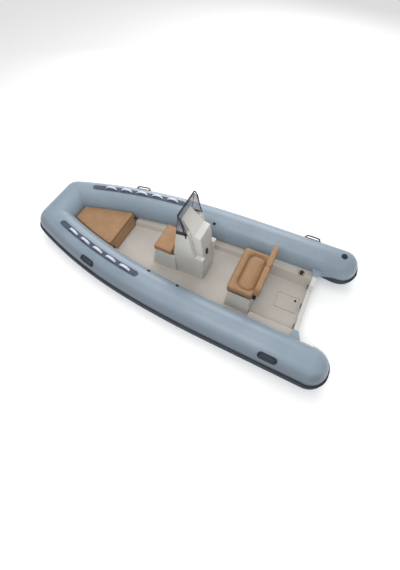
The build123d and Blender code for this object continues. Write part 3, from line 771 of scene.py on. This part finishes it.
def slab(name, outline, faces_at, finish, body, slot):
    """Flat closed plate: an outline in x and z, between two distances from the centreline."""
    corners = [(x, y, z) for y in faces_at for x, z in outline]
    count = len(outline)
    faces = [list(range(count)), [count + i for i in reversed(range(count))]]
    faces += [(i, count + i, count + (i + 1) % count, (i + 1) % count) for i in range(count)]
    piece_of(name, faced_out(mesh_of(name, corners, faces), bevel=0.002), finish, body, slot)


def rounded_moulding(node):
    """The node's shape with the rounded edges that a glass-fibre moulding has."""
    name = node + "_moulded"
    work = welded(node)
    flat = math.radians(1.5)
    bmesh.ops.dissolve_limit(work, angle_limit=flat, verts=work.verts, edges=work.edges)
    piece = piece_of(name, edited_mesh(name, work), MOULDING, "boat", "gelcoat", node)
    bevel = piece.modifiers.new("edges", "BEVEL")
    bevel.width = MOULDING_ROUND
    bevel.segments = 3
    bevel.limit_method = "ANGLE"
    bevel.angle_limit = math.radians(25)
    bevel.harden_normals = True
    worked(piece)


# ------------------------------------------------------------------ filling a cushion
FRAMES = 20                     # length of a filling
COVER_INSET = 0.006             # the empty cover is this much smaller than its solid
GLUED_FOOT = 0.016              # height of the border that is glued down over the board
FOOT_WELT_RISE = 0.008          # height of the lower welt above the cushion's foot
STITCH_LIFT = 0.0004
STITCH_RADIUS = 0.0009


def swollen(name, node, body, voxel, cap, shaped, held, pressure=4.0):
    """Cushion made from a slightly smaller copy of its solid, blown up like a stuffed cover.

    shaped moves a point of the cover before it is filled; held says which points are sewn
    or glued down and stay where they are; no point moves further than cap.
    """
    low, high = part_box(node)
    middle = (low + high) / 2
    work = welded(node)
    for corner in work.verts:
        for axis in range(3):
            share = 1 - COVER_INSET / ((high[axis] - low[axis]) / 2)
            corner.co[axis] = middle[axis] + (corner.co[axis] - middle[axis]) * share
    piece = piece_of(name, edited_mesh(name, work), VINYL, body, "cushion_vinyl", node)
    remesh = piece.modifiers.new("remesh", "REMESH")
    remesh.mode = "VOXEL"
    remesh.voxel_size = voxel
    worked(piece)
    cover = [(corner, corner.co.copy(), corner.normal.copy()) for corner in piece.data.vertices]
    for corner, place, normal in cover:
        corner.co = shaped(place, normal)
    fill(piece, cap, held, pressure)
    points = [corner.co for corner in piece.data.vertices]
    for axis in range(3):
        least = min(p[axis] for p in points)
        most = max(p[axis] for p in points)
        for p in points:
            p[axis] = low[axis] + (p[axis] - least) * (high[axis] - low[axis]) / (most - least)
    subdivide = piece.modifiers.new("subdivide", "SUBSURF")
    subdivide.levels = subdivide.render_levels = 1
    worked(piece)
    smooth(piece.data)
    return piece


def fill(piece, cap, held, pressure):
    """Swell the cover with air, no point further than cap from where it started."""
    start = [corner.co.copy() for corner in piece.data.vertices]
    group = piece.vertex_groups.new(name="held")
    fixed = [c.index for c in piece.data.vertices if held(c.co, c.normal)]
    group.add(fixed, 1.0, "REPLACE")
    cloth = piece.modifiers.new("filling", "CLOTH")
    settings = cloth.settings
    settings.quality = 5
    settings.mass = 0.4
    settings.tension_stiffness = 30
    settings.compression_stiffness = 30
    settings.shear_stiffness = 15
    settings.bending_stiffness = 1.0
    settings.use_pressure = True
    settings.uniform_pressure_force = pressure
    settings.vertex_group_mass = "held"
    settings.effector_weights.gravity = 0
    cloth.point_cache.frame_start = 1
    cloth.point_cache.frame_end = FRAMES
    scene = bpy.context.scene
    for number in range(1, FRAMES + 1):
        scene.frame_set(number)
    worked(piece)
    scene.frame_set(1)
    for corner, home in zip(piece.data.vertices, start):
        move = corner.co - home
        if move.length > cap:
            corner.co = home + move * (cap / move.length)


def press_seam(piece, gap, depth, width):
    """Pull the cover in along a sewn line, given each point's distance from that line."""
    reach = 3 * width
    moves = []
    for corner in piece.data.vertices:
        near = gap(corner.co, corner.normal)
        if abs(near) < reach:
            moves.append((corner, corner.normal * depth * math.exp(-((near / width) ** 2))))
    for corner, move in moves:
        corner.co -= move


def lay_on(piece, line, lift):
    """Move the points of a line onto the piece's surface, raised by lift."""
    mesh = piece.data
    sides = [tuple(face.vertices) for face in mesh.polygons]
    tree = BVHTree.FromPolygons([corner.co for corner in mesh.vertices], sides)
    laid = []
    for point in line:
        place, normal, _, _ = tree.find_nearest(Vector(point))
        laid.append(place + normal * lift)
    return laid


def welts(name, piece, lines, radius, body, lift=-0.001):
    """Piping along the lines, half sunk in the cushion's seams."""
    bars(name, [lay_on(piece, line, lift) for line in lines], radius, WELT, body, "cushion_vinyl")


def stitches(name, piece, line, body):
    """Short threads along a line of points, every second gap left open."""
    laid = lay_on(piece, line, STITCH_LIFT)
    threads = [[a, b] for a, b in zip(laid[::2], laid[1::2])]
    bars(name, threads, STITCH_RADIUS, THREAD, body, "cushion_vinyl", closed=False, sides=5)


def drawn_in(point, middle, half, amount):
    """Pull a cushion's sides in between its corners."""
    u = (point.x - middle.x) / half.x
    v = (point.y - middle.y) / half.y
    x = point.x - amount * u * abs(u) * (1 - v * v)
    y = point.y - amount * v * abs(v) * (1 - u * u)
    return Vector((x, y, point.z))


def flat_at(line, z):
    """A flat line in x and y at height z."""
    return [(x, y, z) for x, y in line]


def upright_at(line, x):
    """A flat line in y and z on the upright plane at x."""
    return [(x, y, z) for y, z in line]


def face_of(low, high):
    """Middle and half size, in y and z, of a pad on an upright face."""
    middle = ((low.y + high.y) / 2, (low.z + high.z) / 2)
    half = ((high.y - low.y) / 2, (high.z - low.z) / 2)
    return middle, half


# ------------------------------------------------------------------ cushions
def bow_pad():
    """Broad and flat, its shoulders rolled down towards the tubes."""
    low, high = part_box("bow_cushion")
    outline = plan_outline("bow_cushion")
    roll = 0.075
    drop = 0.013
    aft_fade = 0.1              # the shoulders start this far ahead of the aft edge
    seam = 0.016

    def shaped(point, normal):
        edge = edge_gap(point.x, point.y, outline)
        shoulder = max(0.0, 1 - edge / roll) * min(1.0, (point.x - low.x) / aft_fade)
        if normal.z > 0.3:
            point = point - Vector((0, 0, drop * shoulder * shoulder))
        return point

    def held(point, normal):
        rim = normal.z > 0.2 and edge_gap(point.x, point.y, outline) < seam
        return point.z < low.z + 0.02 or rim

    pad = swollen(
        "bow_pad", "bow_cushion", "bow_lid", voxel=0.0105, cap=0.016, shaped=shaped, held=held,
        pressure=2.5,
    )
    top = flat_at(inset_line(outline, 0.006), high.z)
    foot = flat_at(outline, low.z + 0.006)
    welts("bow_pad_welt", pad, [spaced(line, 0.012) for line in (top, foot)], 0.0042, "bow_lid")


def front_seat_pad():
    """The seat ahead of the console, sewn round its top a little inside the edge."""
    low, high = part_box("front_seat_cushion")
    middle = (low + high) / 2
    half = (high - low) / 2
    plan = (middle.x, middle.y)
    plan_half = (half.x, half.y)
    corner = 0.03
    seam, seam_half = 0.012, 0.007

    def shaped(point, normal):
        return drawn_in(point, middle, half, 0.006)

    def held(point, normal):
        edge = ring_gap(point.x, point.y, plan, plan_half, corner)
        return point.z < low.z + GLUED_FOOT or (normal.z > 0.2 and abs(edge + seam) < seam_half)

    pad = swollen(
        "front_seat_pad", "front_seat_cushion", "front_seat_lid", voxel=0.007, cap=0.016,
        shaped=shaped, held=held,
    )
    top = flat_at(rounded_ring(plan, grown(plan_half, -0.007), corner), high.z)
    foot = flat_at(rounded_ring(plan, grown(plan_half, -0.002), corner), low.z + FOOT_WELT_RISE)
    welts("front_seat_welt", pad, [top, foot], 0.004, "front_seat_lid")


def front_seat_back():
    """The pad behind the front seat, on the console's raked face."""
    low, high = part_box("front_back_pad")
    middle, half = face_of(low, high)
    corner = 0.03
    seam, seam_half = 0.014, 0.007

    def shaped(point, normal):
        return point

    def held(point, normal):
        edge = ring_gap(point.y, point.z, middle, half, corner)
        return normal.x < -0.5 or (normal.x > 0.2 and abs(edge + seam) < seam_half)

    pad = swollen(
        "front_seat_back", "front_back_pad", "boat", voxel=0.006, cap=0.012, shaped=shaped, held=held
    )
    ring = rounded_ring(middle, grown(half, -0.007), corner)
    welts("front_seat_back_welt", pad, [upright_at(ring, high.x)], 0.0038, "boat")


def locker_face_pad():
    """The pad on the bow locker's aft face: its top edge lies further forward than its foot."""
    low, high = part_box("bow_front_pad")
    middle, half = face_of(low, high)
    corner = 0.02
    lean = 0.026
    seam, seam_half = 0.012, 0.006

    def shaped(point, normal):
        if normal.x < 0.3:
            share = (point.z - low.z) / (high.z - low.z)
            point = point + Vector((lean * share * (high.x - point.x) / (high.x - low.x), 0, 0))
        return point

    def held(point, normal):
        edge = ring_gap(point.y, point.z, middle, half, corner)
        return normal.x > 0.5 or (normal.x < -0.2 and abs(edge + seam) < seam_half)

    pad = swollen(
        "locker_face_pad", "bow_front_pad", "boat", voxel=0.007, cap=0.010, shaped=shaped, held=held
    )
    ring = rounded_ring(middle, grown(half, -0.006), corner)
    welts("locker_face_welt", pad, [upright_at(ring, low.x)], 0.0038, "boat")


def helm_pad():
    """The helm cushion: a broad rolled border round a sewn-in panel."""
    low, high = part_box("helm_cushion")
    middle = (low + high) / 2
    half = (high - low) / 2
    channel = 0.026             # depth, and width each way, of the channel along the panel's seam
    panel_sunk = 0.012
    seam_half = 0.006
    stitch_out = 0.011
    foot_corner = 0.055

    def panel_gap(point):
        return ring_gap(point.x, point.y, HELM_PANEL_MIDDLE, HELM_PANEL_HALF, HELM_PANEL_CORNER)

    def shaped(point, normal):
        point = drawn_in(point, middle, half, 0.007)
        if normal.z < 0.3:
            return point
        gap = panel_gap(point)
        sunk = channel * math.exp(-((gap / channel) ** 2)) + panel_sunk * (gap < 0)
        return point - Vector((0, 0, sunk))

    def held(point, normal):
        return point.z < low.z + GLUED_FOOT or (normal.z > 0 and abs(panel_gap(point)) < seam_half)

    def seam_gap(point, normal):
        return panel_gap(point) if normal.z > 0.2 else 1

    pad = swollen(
        "helm_pad", "helm_cushion", "helm_seat_lid", voxel=0.0075, cap=0.022, shaped=shaped, held=held
    )
    press_seam(pad, seam_gap, depth=0.006, width=0.006)
    panel = flat_at(rounded_ring(HELM_PANEL_MIDDLE, HELM_PANEL_HALF, HELM_PANEL_CORNER), high.z)
    foot = rounded_ring((middle.x, middle.y), grown((half.x, half.y), -0.003), foot_corner)
    lines = [panel, flat_at(foot, low.z + FOOT_WELT_RISE)]
    welts("helm_pad_welt", pad, lines, 0.0036, "helm_seat_lid", lift=-0.0015)
    seam = rounded_ring(
        HELM_PANEL_MIDDLE, grown(HELM_PANEL_HALF, stitch_out), HELM_PANEL_CORNER + stitch_out, 0.0045
    )
    stitches("helm_pad_stitches", pad, flat_at(seam, high.z), "helm_seat_lid")


def helm_backrest_pad():
    """The helm backrest: two bolsters drawn together at a sewn waist."""
    low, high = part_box("helm_backrest")
    middle, half = face_of(low, high)
    corner = 0.07
    seam, seam_half = 0.016, 0.006
    waist_width = 0.03
    waist_half = 0.005
    aft_pull, front_pull = 0.016, -0.008
    foot_pull, head_pull = 0.034, -0.016

    def shaped(point, normal):
        waist = math.exp(-((point.y / waist_width) ** 2))
        push = Vector((aft_pull if normal.x < 0 else front_pull, 0, 0)) * waist
        pull = (foot_pull if point.z < middle[1] else head_pull) * waist
        push.z = pull * abs(point.z - middle[1]) / half[1]
        return point + push

    def held(point, normal):
        edge = ring_gap(point.y, point.z, middle, half, corner)
        face_seam = abs(normal.x) > 0.3 and abs(edge + seam) < seam_half
        return abs(point.y) < waist_half or face_seam

    def waist_gap(point, normal):
        return point.y

    pad = swollen(
        "helm_backrest_pad", "helm_backrest", "helm_seat_lid", voxel=0.0075, cap=0.018,
        shaped=shaped, held=held, pressure=3.0,
    )
    press_seam(pad, waist_gap, depth=0.005, width=0.007)
    ring = rounded_ring(middle, grown(half, -0.008), 0.065)
    lines = [upright_at(ring, x) for x in (low.x, high.x)]
    welts("helm_backrest_welt", pad, lines, 0.0038, "helm_seat_lid")


# ------------------------------------------------------------------ collar details
def tube_borders():
    """Raised rims of the grip strips and of the handle pads."""
    middle = (STRIP_ENDS[0] + STRIP_ENDS[1]) / 2
    half = grown(((STRIP_ENDS[1] - STRIP_ENDS[0]) / 2, STRIP_HALF_WIDTH), -STRIP_RIM_INSET)
    strip = rounded_ring((0, 0), half, half[1] - 0.001, 0.014)
    lines = []
    for side in (1, -1):
        lines.append([on_tube(middle + u, v / TUBE_RADIUS, PAD_THICKNESS, side) for u, v in strip])
    bars("strip_rims", lines, 0.0042, STRIP, "boat", "grip_rubber", sides=6)
    lines = []
    for inset, corner in HANDLE_RIMS:
        pad = rounded_ring((0, 0), grown(HANDLE_PAD, -inset), corner, 0.010)
        for side in (1, -1):
            for x in HANDLE_STATIONS:
                lines.append([near_tube(x, v, u, PAD_THICKNESS, HANDLE_TILT, side) for u, v in pad])
    bars("handle_pad_rims", lines, 0.0055, HANDLE, "boat", "grip_rubber")


def seam_tapes():
    """Fabric tapes glued over the mitred seams at the bow corners."""
    corners = []
    faces = []
    for name in ("tube_bow", "tube_port", "tube_starboard"):
        first = len(corners)
        corners += [corner.co.copy() for corner in nodes[name].data.vertices]
        faces += [tuple(first + i for i in face.vertices) for face in nodes[name].data.polygons]
    skin = BVHTree.FromPolygons(corners, faces)
    turned = (heading(BOW_LINE) + math.pi / 2) / 2
    steps = 56
    for side, name in ((1, "port"), (-1, "starboard")):
        across = Vector((math.cos(turned), -side * math.sin(turned), 0))
        spoke_out = Vector((math.sin(turned), side * math.cos(turned), 0))
        centre = Vector((BOW_LINE, side * collar_y(BOW_LINE), TUBE_Z))
        rows = []
        for i in range(steps + 1):
            angle = math.radians(SEAM_TAPE_TURN[0] + SEAM_TAPE_TURN[1] * i / steps)
            spoke = spoke_out * math.cos(angle) + Vector((0, 0, math.sin(angle)))
            row = []
            for share in spread(5):
                start = centre + across * SEAM_TAPE_HALF * share + spoke * SEAM_SEARCH
                place, normal, _, _ = skin.ray_cast(start, -spoke, 1.0)
                row.append(place + normal * (TAPE_EDGE if abs(share) == 1 else SEAM_TAPE_LIFT))
            rows.append(row)
        ribbon("corner_seam_tape_" + name, rows, TAPE, "boat", "tube_fabric")


def strake_and_shade_tails():
    """The strake carried round the domed stern ends and forward along the inner flank, thinning. Partly
    painted shade: the run along the inner flank also stands for the shade under the tube there.
    """
    start_x = STERN_TIP + DOME_RADIUS
    foot = STRAKE_SECTION[0][1]
    turns = 40
    steps = 12
    for side, name in ((1, "port"), (-1, "starboard")):
        ball = Vector((start_x, side * (collar_y(start_x) - DOME_FLAT), 0))
        rows = []
        for i in range(turns + 1):
            angle = math.radians(STRAKE_TURN[0] + STRAKE_TURN[1] * i / turns)
            out = Vector((-math.cos(angle), -side * math.sin(angle), 0))
            row = []
            for reach, z in STRAKE_SECTION:
                drop = math.sqrt(DOME_RADIUS ** 2 - (z - TUBE_Z) ** 2)
                point = ball + out * (drop + reach - STRAKE_BED)
                row.append(Vector((point.x, point.y, z)))
            rows.append(row)
        # partly painted shade: this thinning black run on the inner flank also darkens where the tube's
        # underside lies in shade
        for i in range(1, steps + 1):
            x = start_x + (STRAKE_END - start_x) * i / steps
            left = 1 - STRAKE_FADE[0] * (i / steps) ** STRAKE_FADE[1]
            row = []
            for reach, height in STRAKE_SECTION:
                z = foot + (height - foot) * left
                drop = math.sqrt(TUBE_RADIUS ** 2 - (z - TUBE_Z) ** 2)
                row.append(Vector((x, side * (collar_y(x) - drop - reach * left), z)))
            rows.append(row)
        ribbon("strake_and_shade_tail_" + name, rows, STRAKE, "boat", "strake_rubber")


def gusset_tapes():
    """Glued flanges where the fabric gussets meet the tubes, pointed at both ends."""
    steps = 24
    for side, name in ((1, "port"), (-1, "starboard")):
        rows = []
        for i in range(steps + 1):
            share = i / steps
            x = GUSSET_ENDS[0] + (GUSSET_ENDS[1] - GUSSET_ENDS[0]) * share
            half = FLANGE_HALF * math.sin(math.pi * (share * 0.94 + 0.03)) ** 0.6
            row = []
            for across in spread(7):
                tilt = FLANGE_TILT + half * across / TUBE_RADIUS
                row.append(on_tube(x, tilt, TAPE_EDGE if abs(across) == 1 else FLANGE_LIFT, side))
            rows.append(row)
        ribbon("gusset_flange_" + name, rows, TAPE, "boat", "tube_fabric")


def grip_arch(x, side):
    """Rings of one bow grip: a band that rises from two feet, thickest at its crown."""
    turn = heading(x)
    sideways = Vector((math.sin(turn), side * math.cos(turn), 0))
    rings = []
    for u in spread(25):
        crown = math.cos(math.pi / 2 * abs(u) ** 1.5)
        thick = GRIP_THICKNESS[0] + GRIP_THICKNESS[1] * crown
        width = GRIP_HALF_WIDTH * (1 - GRIP_NARROWING * abs(u) ** 3)
        base = near_tube(x, 0, u * GRIP_HALF_LENGTH, 0, 0, side)
        ring = []
        for angle in round_turns(12):
            across = width * squared(math.cos(angle), 0.55)
            up = thick / 2 * squared(math.sin(angle), 0.7)
            rise = Vector((0, 0, GRIP_RISE * crown + up + FOOT_LIFT))
            ring.append(base + sideways * across + rise)
        rings.append(ring)
    return rings


def bow_grips():
    """Five moulded arches a side."""
    for side, name in ((1, "bow_grips_port"), (-1, "bow_grips_starboard")):
        corners = []
        faces = []
        for k in range(GRIP_COUNT):
            add_skin(corners, faces, grip_arch(GRIP_FRONT - GRIP_PITCH * k, side))
        mesh = faced_out(mesh_of(name + "_moulded", corners, faces))
        piece_of(name + "_moulded", mesh, GRIP, "boat", "grip_rubber", name)


def handle_bar(x, side):
    """Rings of one carry handle: a flat bar on two short legs, bent from one strap."""
    across = near_tube(x, 0.01, 0, 0, HANDLE_TILT, side) - near_tube(x, -0.01, 0, 0, HANDLE_TILT, side)
    across.normalize()
    steps = 36
    path = []
    for k in range(steps + 1):
        turn = math.pi * k / steps
        reach = squared(math.cos(turn), HANDLE_BEND) * HANDLE_HALF_LENGTH
        rise = FOOT_LIFT + HANDLE_RISE * abs(math.sin(turn)) ** HANDLE_BEND
        path.append(near_tube(x, 0, reach, rise, HANDLE_TILT, side))
    rings = []
    for k, point in enumerate(path):
        ahead = (path[min(k + 1, steps)] - path[max(k - 1, 0)]).normalized()
        up = ahead.cross(across)
        ring = []
        for turn in round_turns(12):
            wide = squared(math.cos(turn), 0.6)
            thick = squared(math.sin(turn), 0.6)
            ring.append(point + across * HANDLE_BAR[0] * wide + up * HANDLE_BAR[1] * thick)
        rings.append(ring)
    return rings


def carry_handles():
    """Two carry handles a side."""
    corners = []
    faces = []
    for side in (1, -1):
        for x in HANDLE_STATIONS:
            add_skin(corners, faces, handle_bar(x, side))
    mesh = faced_out(mesh_of("carry_handles", corners, faces))
    piece_of("carry_handles", mesh, HANDLE, "boat", "strake_rubber", "handle_grips")


# ------------------------------------------------------------------ bow lid's covers
def lid_edging():
    """Vinyl wrapped round the edge of the bow lid's board, from under its rim to over it."""
    low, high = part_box("bow_lid_panel")
    line = spaced(plan_outline("bow_lid_panel"), 0.02)
    cx, cy = centre_of(line)
    shoulder = LID_EDGE_OUT * 0.8
    profile = (
        (-LID_EDGE_IN, low.z), (shoulder, low.z + 0.002), (LID_EDGE_OUT, (low.z + high.z) / 2),
        (shoulder, high.z - 0.002), (-LID_EDGE_IN, high.z),
    )
    rows = []
    for x, y in line:
        reach = math.hypot(x - cx, y - cy)
        px, py = (x - cx) / reach, (y - cy) / reach
        rows.append([Vector((x + px * step, y + py * step, z)) for step, z in profile])
    ribbon("bow_lid_edge", rows, VINYL, "bow_lid", "cushion_vinyl", closed=True)


def lid_skirt():
    """Vinyl facing under the bow pad's aft edge: it leans out to meet the pad on the locker."""
    low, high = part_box("bow_lid_panel")
    wide = high.y - SKIRT_END_INSET
    near = wide - SKIRT_END_ROUND
    half_stations = ((near, 1.0), (wide, 0.7), (wide, 0.0))
    stations = [(-y, size) for y, size in half_stations[::-1]] + [(0.0, 1.0)] + list(half_stations)
    core_x, core_z = SKIRT_CORE
    rows = []
    for y, size in stations:
        row = []
        for out, up in SKIRT_PROFILE + SKIRT_PROFILE[:1]:
            x = low.x + (out - core_x) * size
            z = low.z + core_z + (up - core_z) * size
            row.append(Vector((x, y, z)))
        rows.append(row)
    ribbon("bow_lid_skirt", rows, VINYL, "bow_lid", "cushion_vinyl")


# ------------------------------------------------------------------ fittings
def caps():
    """Caps of the air valves and the relief valve, and the hatch's latch."""
    valves = []
    for x in VALVE_STATIONS:
        for side in (1, -1):
            place = on_tube(x, VALVE_TILT, VALVE_LIFT, side)
            valves.append((place, place - on_tube(x, VALVE_TILT, 0, side)))
    lathed("valve_caps", VALVE_CAP, valves, LATCH, "boat", "black_plastic")
    relief = [(on_tube(RELIEF_X, 0, VALVE_LIFT, -1), (0, 0, 1))]
    lathed("relief_valve_cap", RELIEF_CAP, relief, LATCH, "boat", "black_plastic", sides=48)
    latch = [(HATCH_LATCH_PLACE, (0, 0, 1))]
    lathed("hatch_latch", HATCH_LATCH, latch, LATCH, "stern_hatch_lid", "black_plastic")


def drain_rims():
    """Oval rims of the three drains in the transom's inner face."""
    rims = []
    for y in DRAIN_STATIONS:
        oval = rounded_ring((y, DRAIN_Z), DRAIN_HALF, DRAIN_CORNER, 0.005)
        rims.append(upright_at(oval, DRAIN_FACE_X))
    bars("drain_rims", rims, 0.0035, BLACK, "boat", "black_plastic")


def filler():
    """The filler's cap and the rim round its plate."""
    low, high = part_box("aft_fitting")
    middle = ((low.x + high.x) / 2, (low.y + high.y) / 2)
    half = grown(((high.x - low.x) / 2, (high.y - low.y) / 2), -FILLER_PLATE_INSET)
    plate = flat_at(rounded_ring(middle, half, 0.012, 0.006), low.z + FILLER_PLATE_TOP)
    bars("filler_plate_rim", [plate], 0.004, BLACK, "boat", "black_plastic")
    place = [((*middle, high.z - FILLER_CAP_SINK), (0, 0, 1))]
    lathed("filler_cap", FILLER_CAP, place, LATCH, "boat", "black_plastic")


def trim(name, lines):
    """Open lines of black edge trim."""
    bars(name, lines, SCREEN_TRIM_RADIUS, TRIM, "boat", "black_plastic", closed=False)


def screen_trim():
    """Edge trim round the screen's panes, and a deep black block at the foot of the port pane only."""
    side_line = spaced(SCREEN_SIDE[1:] + SCREEN_SIDE[:1], 0.02, closed=False)
    for side, name in ((1, "port"), (-1, "starboard")):
        trim("screen_trim_" + name, [[(x, side * SCREEN_HALF_WIDTH, z) for x, z in side_line]])
    slab("screen_foot_port", SCREEN_FOOT, SCREEN_FOOT_FACES, TRIM, "boat", "black_plastic")
    runs = []
    for x, z in (SCREEN_SIDE[0], SCREEN_SIDE[3]):
        ends = [(x, SCREEN_HALF_WIDTH, z), (x, -SCREEN_HALF_WIDTH, z)]
        runs.append(spaced(ends, 0.05, closed=False))
    trim("screen_front_trim", runs)


bow_pad()
front_seat_pad()
front_seat_back()
locker_face_pad()
helm_pad()
helm_backrest_pad()
tube_borders()
seam_tapes()
strake_and_shade_tails()
gusset_tapes()
bow_grips()
carry_handles()
caps()
drain_rims()
filler()
screen_trim()
lid_edging()
lid_skirt()
for node in ("console_body", "seat_box", "front_seat_base"):
    rounded_moulding(node)


# ------------------------------------------------------------------ stage, lights and camera
def make_stage():
    bpy.ops.mesh.primitive_plane_add(size=2 * FLOOR_REACH, location=(2.0, 0, 0))
    floor = bpy.context.object
    floor.name = "pale_floor"
    floor.data.materials.append(pale_floor())
    world = bpy.data.worlds.new("studio")
    bpy.context.scene.world = world
    world.use_nodes = True
    background = world.node_tree.nodes["Background"]
    background.inputs["Color"].default_value = (1, 1, 1, 1)
    background.inputs["Strength"].default_value = WORLD_LIGHT


def add_light(name, place, aim, size, power):
    data = bpy.data.lights.new(name, "AREA")
    data.energy = power
    data.shape = "DISK"
    data.size = size
    light = bpy.data.objects.new(name, data)
    bpy.context.scene.collection.objects.link(light)
    light.location = place
    light.rotation_euler = (Vector(aim) - Vector(place)).to_track_quat("-Z", "Y").to_euler()


def make_camera():
    data = bpy.data.cameras.new("camera")
    data.lens = LENS
    camera = bpy.data.objects.new("camera", data)
    bpy.context.scene.collection.objects.link(camera)
    turn = Matrix((CAMERA_RIGHT, CAMERA_UP, CAMERA_BACK)).transposed().to_4x4()
    camera.matrix_world = Matrix.Translation(CAMERA_PLACE) @ turn
    bpy.context.scene.camera = camera
    bpy.context.scene.view_settings.view_transform = "Standard"


make_stage()
for light in LIGHTS:
    add_light(*light)
make_camera()
